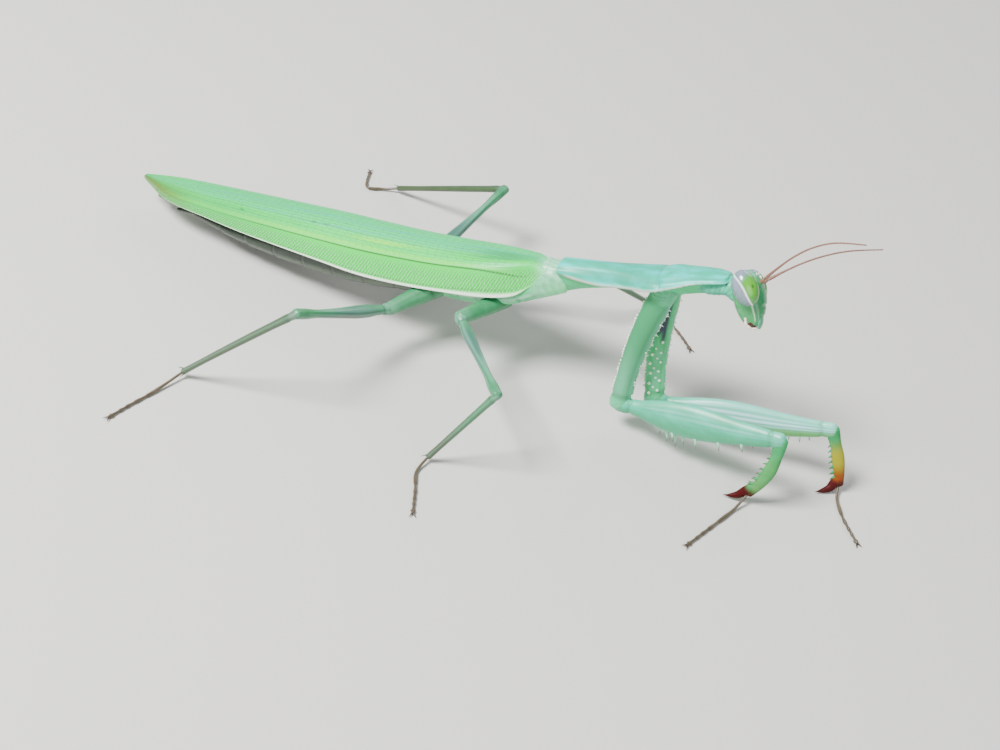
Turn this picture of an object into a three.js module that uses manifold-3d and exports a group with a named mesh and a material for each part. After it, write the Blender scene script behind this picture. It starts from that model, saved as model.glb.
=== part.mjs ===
// A green praying mantis standing on a floor, still and life size.
// Millimetres, +Z up, +X towards the head, +Y to the animal's left.
// The body is built round the wing base, and the whole is then moved so that the
// middle of its footprint is the origin. Every sub-part is one closed solid, and
// solids that touch are kept GAP apart.

import * as THREE from 'three';
import { mergeVertices } from 'three/addons/utils/BufferGeometryUtils.js';
import Module from 'manifold-3d';

const wasm = await Module();
wasm.setup();

// ---------------------------------------------------------------- driving sizes

const GAP = 0.3; // clearance between touching sub-parts
const SHEET = 0.5; // thickness of a wing

const WING_BASE_HEIGHT = 13.95; // top of the back at the wing roots, above the floor
const WING_LENGTH = 50.3;
const WING_SLOPE = 12; // the wings fall this much towards the tail, in degrees
const BODY_ROLL = 9.4; // the left side is this much lower, in degrees

const PRONOTUM_LENGTH = 20; // from the wing base to the neck
const PRONOTUM_PITCH = 23.1; // it rises this much towards the head, in degrees

const HEAD_YAW = 15.6;
const HEAD_PITCH = 33; // the face looks up by this much, in degrees
const HEAD_ROLL = -38.9; // the head is tilted with its right eye up

const FOOT_RADIUS = 0.3;
const FOOT_LIFT = 0.23; // height of a resting foot's middle line
const FOOT_PARTS = 5; // joints of a foot, each a little wider at its end

const VEIN_HEIGHT = 0.1; // a main vein stands this high above the wing
const VEIN_SHARE = 0.035; // half its width, as a share of the field's width

const SPINE_RADIUS = 0.26;
const SPINE_ROOT = 0.3; // every spine starts this deep inside the leg

// Each leg: where it roots, then the length, heading, climb and bow of its long pieces.
// Headings turn from +X to +Y and climbs rise from level, in degrees; a bow is how far
// the middle bends out in the leg's own plane. The foot's steps are lengths and
// headings along the floor.
const LEGS = {
  fore_right: {
    root: [13.05, -1.0, 17.3], coxa: [14.4, -102, -77.5, 0.6], femur: [17.8, -4.5, 16.8, 0.3],
    tibia: [7.2, -120, -75.5, -0.6], claw: [2.7, 196, -25], foot: [[2.4, -110], [3.4, -112], [4.0, -112]],
  },
  fore_left: {
    root: [12.9, 2.1, 16.9], coxa: [14.3, -54.5, -71.8, 0.5], femur: [18.85, 6, 12.3, 0.55],
    tibia: [7.0, -6, -65, -0.2], claw: [2.8, 224, -15], foot: [[1.6, -75], [2.6, -62], [3.4, -50]],
  },
  mid_right: {
    root: [-3.0, -1.7, 8.6], coxa: [6.25, -116.8, 0.5], femur: [13.0, -49.7, 6.9],
    tibia: [11.0, -152.5, -59.7], foot: [[2.1, -98], [2.4, -67], [3.1, -68]],
  },
  mid_left: {
    root: [-4.4, 2.2, 6.5], coxa: [4.7, 141, -2], femur: [12.5, 20, 5],
    tibia: [11.6, 49, -36.5], foot: [[3.6, -30], [2.2, -38], [2.0, -44]],
  },
  hind_right: {
    root: [-10.5, -2.5, 7.3], coxa: [6.1, -124, -13], femur: [14.5, -111, 25.3, 0.45],
    tibia: [16.0, -164, -45, -0.25], foot: [[4.0, -108], [2.8, -109], [2.6, -107]],
  },
  hind_left: {
    root: [-10.0, 2.0, 6.0], coxa: [5.3, 167, -20], femur: [14.5, 74, 16.4],
    tibia: [16.1, 172, -27.8], foot: [[2.0, -160], [1.9, -158], [3.3, 111]],
  },
};

// Half widths (side to side) and half depths of the long pieces, at even steps from root
// to tip. A femur starts with the narrow trochanter and ends in its knee.
const GIRTH = {
  fore: {
    coxa: { width: [0.85, 1.0, 1.0, 0.92, 0.86, 0.9], depth: [1.3, 1.28, 1.18, 1.08, 1.02, 1.15] },
    femur: {
      width: [0.75, 0.7, 0.85, 0.95, 0.98, 0.95, 0.88, 0.75, 0.66, 0.62],
      depth: [0.95, 0.9, 1.4, 1.8, 1.95, 1.85, 1.6, 1.3, 1.05, 0.85],
    },
    tibia: { width: [0.55, 0.5, 0.5, 0.45, 0.4], depth: [0.75, 0.62, 0.72, 0.62, 0.5] },
  },
  mid: {
    coxa: { width: [0.95, 0.95, 0.85, 0.75], depth: [1.0, 0.98, 0.88, 0.75] },
    femur: {
      width: [0.62, 0.5, 0.62, 0.58, 0.5, 0.45, 0.41, 0.4, 0.48, 0.5],
      depth: [0.62, 0.52, 0.64, 0.6, 0.52, 0.47, 0.43, 0.42, 0.55, 0.56],
    },
    tibia: { width: [0.42, 0.34, 0.33, 0.31, 0.3, 0.28, 0.3], depth: [0.48, 0.38, 0.34, 0.32, 0.3, 0.28, 0.3] },
  },
  hind: {
    coxa: { width: [1.2, 1.05, 0.88, 0.72], depth: [1.25, 1.1, 0.9, 0.72] },
    femur: {
      width: [0.62, 0.54, 0.66, 0.66, 0.58, 0.5, 0.44, 0.4, 0.48, 0.5],
      depth: [0.64, 0.56, 0.7, 0.7, 0.6, 0.52, 0.46, 0.43, 0.55, 0.56],
    },
    tibia: { width: [0.42, 0.35, 0.35, 0.33, 0.31, 0.29, 0.31], depth: [0.48, 0.4, 0.36, 0.34, 0.31, 0.29, 0.31] },
  },
};

// Rows of spines on the grasping legs, along the edges that close on each other. from and
// to are places along the piece, side is outward (1) or inward (-1) of its middle, and
// lean tips a spine towards the piece's end.
const FEMUR_SPINES = [
  { side: 1, from: 0.36, to: 0.78, lengths: [0.75, 0.85, 0.8, 0.7], lean: 0.35 },
  { side: 0, from: 0.27, to: 0.42, lengths: [0.6, 1.15, 1.35, 0.8], lean: 0.15 },
  { side: -1, from: 0.38, to: 0.88, lengths: [0.6, 0.4, 0.6, 0.4, 0.6, 0.4, 0.6, 0.4, 0.6, 0.4], lean: 0.2 },
];
const TIBIA_SPINES = [
  { side: 1, from: 0.3, to: 0.84, lengths: [0.35, 0.4, 0.45, 0.5, 0.55, 0.6], lean: 0.75 },
  { side: -1, from: 0.26, to: 0.86, lengths: [0.35, 0.4, 0.4, 0.45, 0.5, 0.55, 0.6], lean: 0.75 },
];
const COXA_TEETH = { side: 0, from: 0.2, to: 0.86, lengths: [0.3, 0.35, 0.35, 0.35, 0.35, 0.35, 0.3], lean: 0.1 };

// ---------------------------------------------------------------- small helpers

const radians = THREE.MathUtils.degToRad;
const vector = (x, y, z) => new THREE.Vector3(x, y, z);

// A unit vector from a heading and a climb in degrees.
function direction(heading, climb) {
  const level = Math.cos(radians(climb));
  const turn = radians(heading);
  return vector(level * Math.cos(turn), level * Math.sin(turn), Math.sin(radians(climb)));
}

// A value read off evenly spaced ones by a smooth curve through them, at t from 0 to 1.
function along(values, t) {
  const last = values.length - 1;
  const place = THREE.MathUtils.clamp(t, 0, 1) * last;
  const i = Math.min(Math.floor(place), last - 1);
  const f = place - i;
  const before = values[Math.max(i - 1, 0)];
  const after = values[Math.min(i + 2, last)];
  const slopeA = (values[i + 1] - before) / 2;
  const slopeB = (after - values[i]) / 2;
  const f2 = f * f;
  const f3 = f2 * f;
  return (2 * f3 - 3 * f2 + 1) * values[i] + (f3 - 2 * f2 + f) * slopeA
    + (3 * f2 - 2 * f3) * values[i + 1] + (f3 - f2) * slopeB;
}

// ---------------------------------------------------------------- closed forms

// Closes rings of equal count into a solid, with a middle point on each end ring.
function skin(rings) {
  const count = rings[0].length;
  const positions = [];
  for (const ring of rings) {
    for (const point of ring) positions.push(point.x, point.y, point.z);
  }
  const faces = [];
  for (let row = 0; row < rings.length - 1; row += 1) {
    for (let i = 0; i < count; i += 1) {
      const a = row * count + i;
      const b = row * count + (i + 1) % count;
      faces.push(a, b, b + count, a, b + count, a + count);
    }
  }
  for (const end of [0, rings.length - 1]) {
    const middle = new THREE.Vector3();
    for (const point of rings[end]) middle.addScaledVector(point, 1 / count);
    const centre = positions.length / 3;
    positions.push(middle.x, middle.y, middle.z);
    for (let i = 0; i < count; i += 1) {
      const a = end * count + i;
      const b = end * count + (i + 1) % count;
      if (end === 0) faces.push(b, a, centre);
      else faces.push(a, b, centre);
    }
  }
  const geometry = new THREE.BufferGeometry();
  geometry.setAttribute('position', new THREE.Float32BufferAttribute(positions, 3));
  geometry.setIndex(faces);
  return outward(geometry);
}

// Turns every face round if the solid came out inside out.
function outward(geometry) {
  const p = geometry.getAttribute('position');
  const index = geometry.getIndex();
  const corner = [vector(0, 0, 0), vector(0, 0, 0), vector(0, 0, 0)];
  let volume = 0;
  for (let i = 0; i < index.count; i += 3) {
    corner.forEach((c, k) => c.fromBufferAttribute(p, index.getX(i + k)));
    volume += corner[0].dot(corner[1].clone().cross(corner[2]));
  }
  if (volume < 0) {
    for (let i = 0; i < index.count; i += 3) {
      const swapped = index.getX(i + 1);
      index.setX(i + 1, index.getX(i + 2));
      index.setX(i + 2, swapped);
    }
  }
  return geometry;
}

// A solid swept along a curve. across and deep give its half sizes at t from 0 to 1,
// across being measured along the reference direction. grow makes it that much larger.
function sweep({ curve, steps, sides, across, deep, reference, grow = 0 }) {
  const rings = [];
  const addRing = (t, shift, size) => {
    const tangent = curve.getTangentAt(t).normalize();
    const middle = curve.getPointAt(t).addScaledVector(tangent, shift);
    const depth = tangent.clone().cross(reference).normalize();
    const width = depth.clone().cross(tangent).normalize();
    const a = (across(t) + grow) * size;
    const b = (deep(t) + grow) * size;
    rings.push(Array.from({ length: sides }, (_, k) => {
      const turn = (2 * Math.PI * (k + 0.5)) / sides;
      return middle.clone()
        .addScaledVector(width, a * Math.cos(turn))
        .addScaledVector(depth, b * Math.sin(turn));
    }));
  };
  const rounding = 0.35 * Math.min(across(0), deep(0));
  const endRounding = 0.35 * Math.min(across(1), deep(1));
  addRing(0, -rounding - grow, 0.7);
  for (let i = 0; i <= steps; i += 1) addRing(i / steps, i === 0 ? -grow * 0.4 : 0, 1);
  addRing(1, endRounding + grow, 0.7);
  return skin(rings);
}

// A body form lofted from rows of [x, half width, top, widest height, bottom]. tuck draws
// the sides in under the widest height, and keel raises the middle line of the top.
function loft(rows, sides, { squareness = 1, tuck = 0, keel = 0 }, grow = 0) {
  const lengthwise = Math.sign(rows.at(-1)[0] - rows[0][0]);
  const rings = rows.map(([x, width, top, waist, bottom], i) => {
    const end = i === 0 ? -1 : Number(i === rows.length - 1);
    return Array.from({ length: sides }, (_, k) => {
      const turn = (2 * Math.PI * (k + 0.5)) / sides;
      const c = Math.cos(turn);
      const s = Math.sin(turn);
      const ridge = s > 0 && Math.abs(c) < 0.01 ? keel : 0;
      const reach = s > 0 ? top - waist + ridge + grow : waist - bottom + grow;
      const drawnIn = s < 0 ? 1 - tuck * Math.sqrt(-s) : 1;
      return vector(
        x + lengthwise * end * grow,
        (width * drawnIn + grow) * Math.sign(c) * Math.abs(c) ** squareness,
        waist + reach * Math.sign(s) * Math.abs(s) ** squareness,
      );
    });
  });
  return skin(rings);
}

// A row for loft at t from 0 to 1 along a few named ones, by smooth curves.
function rowAt(rows, t) {
  return rows[0].map((_, c) => along(rows.map((row) => row[c]), t));
}

function smoothRows(rows, steps) {
  return Array.from({ length: steps + 1 }, (_, i) => rowAt(rows, i / steps));
}

// Rows of a body made of rings: each widens by step to its hind edge, which stands over
// the start of the next.
function ringedRows(rows, rings, step) {
  const result = [];
  for (let ring = 0; ring < rings; ring += 1) {
    for (const [part, inset] of [[0, step], [0.45, step * 0.4], [0.93, 0]]) {
      const [x, width, top, waist, bottom] = rowAt(rows, (ring + part) / rings);
      result.push([x, width - inset, top, waist, bottom + inset]);
    }
  }
  const [x, width, top, waist, bottom] = rowAt(rows, 1);
  result.push([x, width - step, top, waist, bottom + step]);
  return result;
}

// A sharp spine that stands on foot along way and starts SPINE_ROOT deep inside.
function thorn(foot, way, length, radius = SPINE_RADIUS) {
  const cone = new THREE.ConeGeometry(radius, length + SPINE_ROOT, 5, 1);
  cone.deleteAttribute('uv');
  cone.deleteAttribute('normal');
  const bare = mergeVertices(cone, 1e-5);
  bare.translate(0, (length - SPINE_ROOT) / 2, 0);
  bare.applyQuaternion(new THREE.Quaternion().setFromUnitVectors(vector(0, 1, 0), way));
  return bare.translate(foot.x, foot.y, foot.z);
}

// A small bead, for an ocellus or the ring of a socket.
function bead(x, y, z, radius) {
  const ball = new THREE.SphereGeometry(radius, 6, 4);
  ball.deleteAttribute('uv');
  ball.deleteAttribute('normal');
  return mergeVertices(ball, 1e-5).translate(x, y, z);
}

// ---------------------------------------------------------------- joining and cutting

function solid(geometry) {
  const bare = new THREE.BufferGeometry();
  bare.setAttribute('position', geometry.getAttribute('position').clone());
  bare.setIndex(geometry.getIndex().clone());
  const merged = mergeVertices(bare, 1e-5);
  return new wasm.Manifold(new wasm.Mesh({
    numProp: 3,
    vertProperties: new Float32Array(merged.getAttribute('position').array),
    triVerts: new Uint32Array(merged.getIndex().array),
  }));
}

// The largest closed surface of a solid, as a geometry.
function largest(manifold) {
  const pieces = manifold.decompose();
  pieces.sort((a, b) => b.volume() - a.volume());
  const mesh = pieces[0].getMesh();
  const geometry = new THREE.BufferGeometry();
  geometry.setAttribute('position', new THREE.Float32BufferAttribute(mesh.vertProperties, 3));
  geometry.setIndex(Array.from(mesh.triVerts));
  return geometry;
}

// Joins forms into one solid and cuts others away from it.
function shape(joined, removed = []) {
  let result = solid(joined[0]);
  for (const form of joined.slice(1)) result = result.add(solid(form));
  for (const form of removed) result = result.subtract(solid(form));
  return largest(result);
}

// ---------------------------------------------------------------- materials

function finish(colour, roughness) {
  return new THREE.MeshStandardMaterial({ color: colour, roughness, metalness: 0 });
}

const FINISHES = {
  cuticle: finish(0x74cfa2, 0.45),
  wing: finish(0x6fcf72, 0.4),
  wingUnder: finish(0x9fc98a, 0.5),
  face: finish(0x62bf78, 0.4),
  eye: finish(0x9fc864, 0.15),
  mouth: finish(0xd8c9b0, 0.5),
  feeler: finish(0xc08a72, 0.5),
  joint: finish(0xa8dcb4, 0.5),
  claw: finish(0x8a2f26, 0.35),
  foot: finish(0xa58a62, 0.55),
};

const mantis = new THREE.Group();

// ---------------------------------------------------------------- frames of the body

function frameAt(position, yaw, pitch, roll) {
  const group = new THREE.Group();
  group.position.copy(position);
  group.rotation.set(radians(roll), radians(-pitch), radians(yaw), 'ZYX');
  group.updateMatrixWorld(true);
  mantis.add(group);
  return group;
}

const wingBase = vector(0, 0, WING_BASE_HEIGHT);
const hindFrame = frameAt(wingBase, 0, WING_SLOPE, -BODY_ROLL);
const foreFrame = frameAt(wingBase, 0, PRONOTUM_PITCH, -BODY_ROLL);

const neckPoint = foreFrame.localToWorld(vector(PRONOTUM_LENGTH - 0.2, 0, -1.9));
const headAxes = new THREE.Euler(radians(HEAD_ROLL), radians(-HEAD_PITCH), radians(HEAD_YAW), 'ZYX');
const NECK_TO_HEAD = vector(1.75, 0, -1.6); // from the neck joint to the head's middle
const headPoint = neckPoint.clone().add(NECK_TO_HEAD.clone().applyEuler(headAxes));
const headFrame = frameAt(headPoint, HEAD_YAW, HEAD_PITCH, HEAD_ROLL);

function inWorld(geometry, frame) {
  return geometry.clone().applyMatrix4(frame.matrixWorld);
}

function inFrame(geometry, frame) {
  return geometry.clone().applyMatrix4(frame.matrixWorld.clone().invert());
}

function add(name, geometry, material, frame = mantis) {
  const mesh = new THREE.Mesh(geometry, FINISHES[material].clone());
  mesh.name = name;
  frame.add(mesh);
  return mesh;
}

// ---------------------------------------------------------------- wings

// Half width of the flat field on the back, and drop of the field down the side,
// at even steps from the wing's root to its tip.
const WING_BACK = [1.6, 3.1, 3.6, 3.75, 3.9, 3.9, 3.75, 3.55, 3.2, 2.6, 0.9];
const WING_SIDE = [2.4, 3.25, 3.0, 3.0, 2.85, 2.4, 2.0, 1.6, 1.15, 0.85, 0.6];
// The back stands higher by this much at the roots.
const WING_RISE = [0.5, 0.3, 0, -0.15, -0.1, 0, 0, 0, 0, 0, 0];
const WING_ARCH = 0.072; // how fast the back falls away to the sides
const SIDE_FLARE = 0.22; // the side field leans out by this much of its drop
const WING_START = -0.3;

// Places across a wing run from the low edge of the side field (-1) over the fold (0) to
// the middle of the back (1) and past it. The main veins are raised at these places.
const VEINS = [-0.6, -0.05, 0.24, 0.47, 0.72, 1.2];
const PLAIN_PLACES = [-1, -0.82, -0.32, 0.1, 0.36, 0.6, 0.95];

// The columns of a wing's grid up to its far edge, each with its share of the vein height.
function wingColumns(farEdge) {
  const columns = [...PLAIN_PLACES, farEdge].map((place) => ({ place, raise: 0 }));
  for (const vein of VEINS) {
    columns.push({ place: vein - VEIN_SHARE, raise: 0 });
    columns.push({ place: vein, raise: 1 });
    columns.push({ place: vein + VEIN_SHARE, raise: 0 });
  }
  return columns.sort((a, b) => a.place - b.place);
}

// One wing as a sheet with raised veins. sink lowers it on the back and sinkAtFold at the
// fold, and reach narrows it. Its inner face follows the outer one SHEET further in, with
// the corner at the fold drawn in both ways so that the face never crosses itself.
function wingSheet({ hand, columns, rows, sink, sinkAtFold, start, end, reach = 1 }) {
  const outer = [];
  const inner = [];
  for (let row = 0; row <= rows; row += 1) {
    const u = start + (end - start) * (1 - Math.cos((row / rows) * Math.PI)) / 2;
    const x = WING_START - u * (WING_LENGTH + WING_START);
    const halfBack = along(WING_BACK, u) * reach;
    const drop = along(WING_SIDE, u);
    const rise = along(WING_RISE, u);
    const fade = THREE.MathUtils.smoothstep(u, 0.01, 0.08) * (1 - THREE.MathUtils.smoothstep(u, 0.85, 0.99));
    const face = (inset) => columns.map(({ place, raise }) => {
      const half = place < 1 ? halfBack - inset : halfBack;
      const back = half * (1 - Math.max(place, 0));
      const down = (drop - inset) * Math.max(-place, 0);
      const sinking = THREE.MathUtils.smoothstep(place, 0, 0.38);
      const level = sinkAtFold + (sink - sinkAtFold) * sinking + inset;
      const crest = inset > 0 ? 0 : raise * fade * VEIN_HEIGHT;
      const out = place < 0 ? crest : 0;
      const up = place < 0 ? 0 : crest;
      const side = back + (drop * Math.max(-place, 0)) * SIDE_FLARE + out;
      return vector(x, hand * side, rise - WING_ARCH * back * back - level - down + up);
    });
    outer.push(face(0));
    inner.push(face(SHEET));
  }
  return sheet(outer, inner);
}

// A closed sheet between two grids of points, split into triangles alike on both.
function sheet(outer, inner) {
  const rows = outer.length;
  const columns = outer[0].length;
  const positions = [];
  for (const grid of [outer, inner]) {
    for (const line of grid) for (const p of line) positions.push(p.x, p.y, p.z);
  }
  const faces = [];
  const at = (layer, row, column) => layer * rows * columns + row * columns + column;
  const quad = (a, b, c, d) => faces.push(a, b, c, a, c, d);
  for (let row = 0; row < rows - 1; row += 1) {
    for (let column = 0; column < columns - 1; column += 1) {
      const cell = (layer) => [at(layer, row, column), at(layer, row, column + 1),
        at(layer, row + 1, column + 1), at(layer, row + 1, column)];
      const [a, b, c, d] = cell(0);
      quad(a, b, c, d);
      const [e, f, g, h] = cell(1);
      faces.push(e, g, f, e, h, g);
    }
  }
  for (let row = 0; row < rows - 1; row += 1) {
    quad(at(0, row, 0), at(0, row + 1, 0), at(1, row + 1, 0), at(1, row, 0));
    const edge = columns - 1;
    quad(at(0, row + 1, edge), at(0, row, edge), at(1, row, edge), at(1, row + 1, edge));
  }
  for (let column = 0; column < columns - 1; column += 1) {
    quad(at(0, 0, column + 1), at(0, 0, column), at(1, 0, column), at(1, 0, column + 1));
    const end = rows - 1;
    quad(at(0, end, column), at(0, end, column + 1), at(1, end, column + 1), at(1, end, column));
  }
  const geometry = new THREE.BufferGeometry();
  geometry.setAttribute('position', new THREE.Float32BufferAttribute(positions, 3));
  geometry.setIndex(faces);
  return outward(geometry);
}

const LAYER = SHEET + GAP + VEIN_HEIGHT; // each wing lies this much below the one over it
add('tegmen_right', wingSheet({
  hand: -1, columns: wingColumns(1.6), rows: 18, sink: 0, sinkAtFold: 0, start: 0, end: 1,
}), 'wing', hindFrame);
add('tegmen_left', wingSheet({
  hand: 1, columns: wingColumns(1.5), rows: 18, sink: LAYER, sinkAtFold: 0.3, start: 0, end: 0.98,
}), 'wing', hindFrame);
const padColumns = Array.from({ length: 9 }, (_, i) => ({ place: i / 4, raise: 0 }));
add('hindwings', wingSheet({
  hand: 1, columns: padColumns, rows: 12, sink: 2 * LAYER, sinkAtFold: 2 * LAYER, start: 0.02, end: 0.96,
  reach: 0.55,
}), 'wingUnder', hindFrame);

// ---------------------------------------------------------------- thorax and abdomen

const UNDER_WINGS = -3 * LAYER; // highest level of the body beneath the wings

// Rows of [x, half width, top, widest height, bottom] in the hind frame.
const THORAX_ROWS = [
  [1.5, 1.4, -0.2, -1.8, -3.3],
  [0.9, 1.75, 0.1, -2.0, -3.6],
  [0.05, 1.9, 0.1, -2.4, -3.9],
];
const THORAX_UNDER_ROWS = [
  [-0.05, 1.95, UNDER_WINGS, -3.1, -3.95],
  [-3.0, 2.3, UNDER_WINGS, -3.7, -5.1],
  [-6.0, 2.5, UNDER_WINGS, -4.1, -5.9],
  [-9.0, 2.6, UNDER_WINGS, -4.3, -6.2],
  [-12.5, 2.5, UNDER_WINGS, -4.2, -6.1],
];
const thorax = (grow = 0) => loft(
  [...THORAX_ROWS, ...ringedRows(THORAX_UNDER_ROWS, 2, 0.14)],
  16,
  { squareness: 0.85 },
  grow,
);

const ABDOMEN_ROWS = [
  [-12.8, 2.4, UNDER_WINGS, -4.2, -6.0],
  [-17.8, 2.8, UNDER_WINGS, -4.5, -6.6],
  [-22.8, 3.05, UNDER_WINGS, -4.6, -6.7],
  [-27.8, 3.2, UNDER_WINGS, -4.3, -6.3],
  [-32.8, 3.1, UNDER_WINGS, -3.9, -5.6],
  [-37.8, 2.7, UNDER_WINGS, -3.4, -4.6],
  [-42.8, 1.5, UNDER_WINGS, -2.9, -3.5],
];
const ABDOMEN_RINGS = 8;
const abdomen = (grow = 0) => loft(ringedRows(ABDOMEN_ROWS, ABDOMEN_RINGS, 0.14), 16, { squareness: 0.85 }, grow);
add('abdomen', abdomen(), 'cuticle', hindFrame);

// Rows in the fore frame, from the hind edge of the pronotum to its rounded front.
const PRONOTUM_ROWS = [
  [1.9, 1.7, 0.45, -0.5, -3.2],
  [4.0, 1.65, 0.42, -0.4, -2.6],
  [6.1, 1.65, 0.3, -0.45, -2.45],
  [8.2, 1.8, 0.18, -0.55, -2.4],
  [10.3, 2.2, 0.05, -0.75, -2.5],
  [12.4, 2.75, -0.1, -0.9, -2.7],
  [14.5, 2.5, -0.05, -0.9, -2.8],
  [16.6, 1.95, 0, -0.85, -2.6],
  [18.7, 1.6, -0.1, -0.9, -2.4],
];
const PRONOTUM_TIP_ROWS = [[19.6, 1.25, -0.3, -1.0, -2.3], [20.0, 0.7, -0.7, -1.2, -1.9]];
const GROOVE = { at: 0.655, half: 0.02, depth: 0.18 }; // the cross groove over the fore legs
const grooveRows = [-1, 0, 1].map((k) => {
  const row = rowAt(PRONOTUM_ROWS, GROOVE.at + k * GROOVE.half);
  row[2] -= k === 0 ? GROOVE.depth : 0;
  return row;
});
const pronotumRows = [...smoothRows(PRONOTUM_ROWS, 16), ...grooveRows].sort((a, b) => a[0] - b[0]);
const prothorax = (grow = 0) => loft(
  [...pronotumRows, ...PRONOTUM_TIP_ROWS],
  18,
  { squareness: 0.9, tuck: 0.2, keel: 0.1 },
  grow,
);
add('thorax', shape([thorax()], [inFrame(inWorld(prothorax(GAP), foreFrame), hindFrame)]), 'cuticle', hindFrame);

for (const [name, hand] of [['left', 1], ['right', -1]]) {
  const curve = new THREE.CatmullRomCurve3([
    vector(-41.6, hand * 0.75, -2.9), vector(-43.4, hand * 1.0, -2.9), vector(-45.4, hand * 1.3, -2.85),
  ]);
  const cercus = sweep({
    curve, steps: 5, sides: 8, reference: vector(0, 1, 0),
    across: (t) => along([0.34, 0.3, 0.25], t), deep: (t) => along([0.34, 0.3, 0.25], t),
  });
  add(`cercus_${name}`, shape([cercus], [abdomen(GAP)]), 'cuticle', hindFrame);
}

// ---------------------------------------------------------------- head

// Rows from mouth to crown: [height, half width, front, widest depth, back]. They are
// lofted along x and then turned so that the loft's length is the head's height.
const HEAD_ROWS = [
  [-2.3, 0.7, 0.65, -0.1, -1.0],
  [-1.7, 0.98, 0.95, 0, -1.3],
  [-1.0, 1.4, 1.25, 0, -1.5],
  [-0.3, 1.8, 1.45, 0, -1.6],
  [0.5, 2.05, 1.55, 0, -1.6],
  [1.3, 2.15, 1.6, 0, -1.55],
  [2.1, 2.1, 1.4, -0.1, -1.45],
  [2.7, 1.75, 0.95, -0.15, -1.2],
  [3.0, 1.2, 0.4, -0.2, -0.8],
];
const headTurn = new THREE.Matrix4().makeBasis(vector(0, 0, 1), vector(0, -1, 0), vector(1, 0, 0));
const head = (grow = 0) => outward(
  loft(smoothRows(HEAD_ROWS, 12), 16, { squareness: 0.9 }, grow).applyMatrix4(headTurn),
);

const EYE = { front: 0.2, side: 2.2, height: 1.25, deep: 1.25, wide: 1.1, tall: 1.85 };
function eye(hand, grow = 0) {
  const geometry = new THREE.SphereGeometry(1, 16, 12);
  geometry.deleteAttribute('uv');
  geometry.deleteAttribute('normal');
  const ball = mergeVertices(geometry, 1e-4);
  ball.rotateX(Math.PI / 2);
  ball.scale(EYE.deep + grow, EYE.wide + grow, EYE.tall + grow);
  ball.rotateX(radians(hand * -8));
  ball.rotateY(radians(-6));
  ball.translate(EYE.front, hand * EYE.side, EYE.height);
  return ball;
}

add('prothorax', shape([prothorax()], [inFrame(inWorld(head(GAP), headFrame), foreFrame)]), 'cuticle', foreFrame);

// Raised parts of the face: three ocelli, the ridge from each eye to the mouth, and the bar
// across it above the upper lip.
const OCELLI = [[1.42, 0, 1.95], [1.2, 0.5, 2.35], [1.2, -0.5, 2.35]];
const ocelli = (grow = 0) => OCELLI.map(([x, y, z]) => bead(x, y, z, 0.26 + grow));
const faceBar = (points, radius) => sweep({
  curve: new THREE.CatmullRomCurve3(points), steps: 4, sides: 6, reference: vector(0.8, 0, 0.6),
  across: () => radius, deep: () => radius,
});
const cheekRidge = (hand) => faceBar(
  [vector(1.05, hand * 1.08, 0.4), vector(0.9, hand * 0.95, -0.8), vector(0.55, hand * 0.62, -2.05)],
  0.27,
);
const lipBar = faceBar([vector(0.6, -0.5, -1.75), vector(0.8, 0, -1.75), vector(0.6, 0.5, -1.75)], 0.26);
const faceForms = [head(), ...ocelli(), cheekRidge(1), cheekRidge(-1), lipBar];
add('head', shape(faceForms, [eye(1, GAP), eye(-1, GAP)]), 'face', headFrame);
add('eye_left', eye(1), 'eye', headFrame);
add('eye_right', eye(-1), 'eye', headFrame);

// The upper lip: a small rounded plate in front of the jaws.
const labrum = sweep({
  curve: new THREE.LineCurve3(vector(0.4, 0, -1.95), vector(0.2, 0, -2.85)),
  steps: 3, sides: 10, reference: vector(0, 1, 0),
  across: (t) => along([0.62, 0.62, 0.4], t), deep: (t) => along([0.3, 0.3, 0.26], t),
});
const jaws = (hand) => sweep({
  curve: new THREE.LineCurve3(vector(-0.45, hand * 0.3, -2.0), vector(-0.4, hand * 0.2, -2.75)),
  steps: 3, sides: 10, reference: vector(0, 1, 0),
  across: (t) => along([0.32, 0.34, 0.26], t), deep: (t) => along([0.4, 0.4, 0.3], t),
});
add('labrum', shape([labrum], [head(GAP)]), 'face', headFrame);
add('jaws', shape([jaws(1), jaws(-1)], [head(GAP)]), 'claw', headFrame);

// The feeler's middle line from its socket: forward, outward and up, in the head frame.
const ANTENNA = [[0, 0, 0], [2.2, 0.8, 1.0], [4.2, 1.7, 1.7], [6.3, 2.9, 2.05], [8.6, 4.3, 1.9], [11.4, 6.1, 1.0]];
const ANTENNA_RISE = { left: 0.62, right: 1 };
for (const [name, hand] of [['left', 1], ['right', -1]]) {
  const palpCurve = new THREE.CatmullRomCurve3([
    vector(-0.7, hand * 0.7, -1.5), vector(-0.75, hand * 1.12, -2.15),
    vector(-0.45, hand * 1.1, -2.65), vector(-0.05, hand * 0.85, -2.85),
  ]);
  const palp = sweep({
    curve: palpCurve, steps: 6, sides: 7, reference: vector(1, 0, 0),
    across: (t) => 0.24 + 0.05 * ((t * 3 + 0.001) % 1), deep: (t) => 0.24 + 0.05 * ((t * 3 + 0.001) % 1),
  });
  add(`palp_${name}`, shape([palp], [head(GAP)]), 'mouth', headFrame);

  const antennaCurve = new THREE.CatmullRomCurve3(
    ANTENNA.map(([x, y, z]) => vector(1.3 + x, hand * (0.6 + y), 1.4 + z * ANTENNA_RISE[name])),
  );
  const antenna = sweep({
    curve: antennaCurve, steps: 14, sides: 7, reference: vector(0, 0, 1),
    across: (t) => along([0.36, 0.27, 0.25, 0.22, 0.16], t),
    deep: (t) => along([0.36, 0.27, 0.25, 0.22, 0.16], t),
  });
  add(`antenna_${name}`, shape([antenna], [head(GAP), ...ocelli(GAP)]), 'feeler', headFrame);
}

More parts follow.
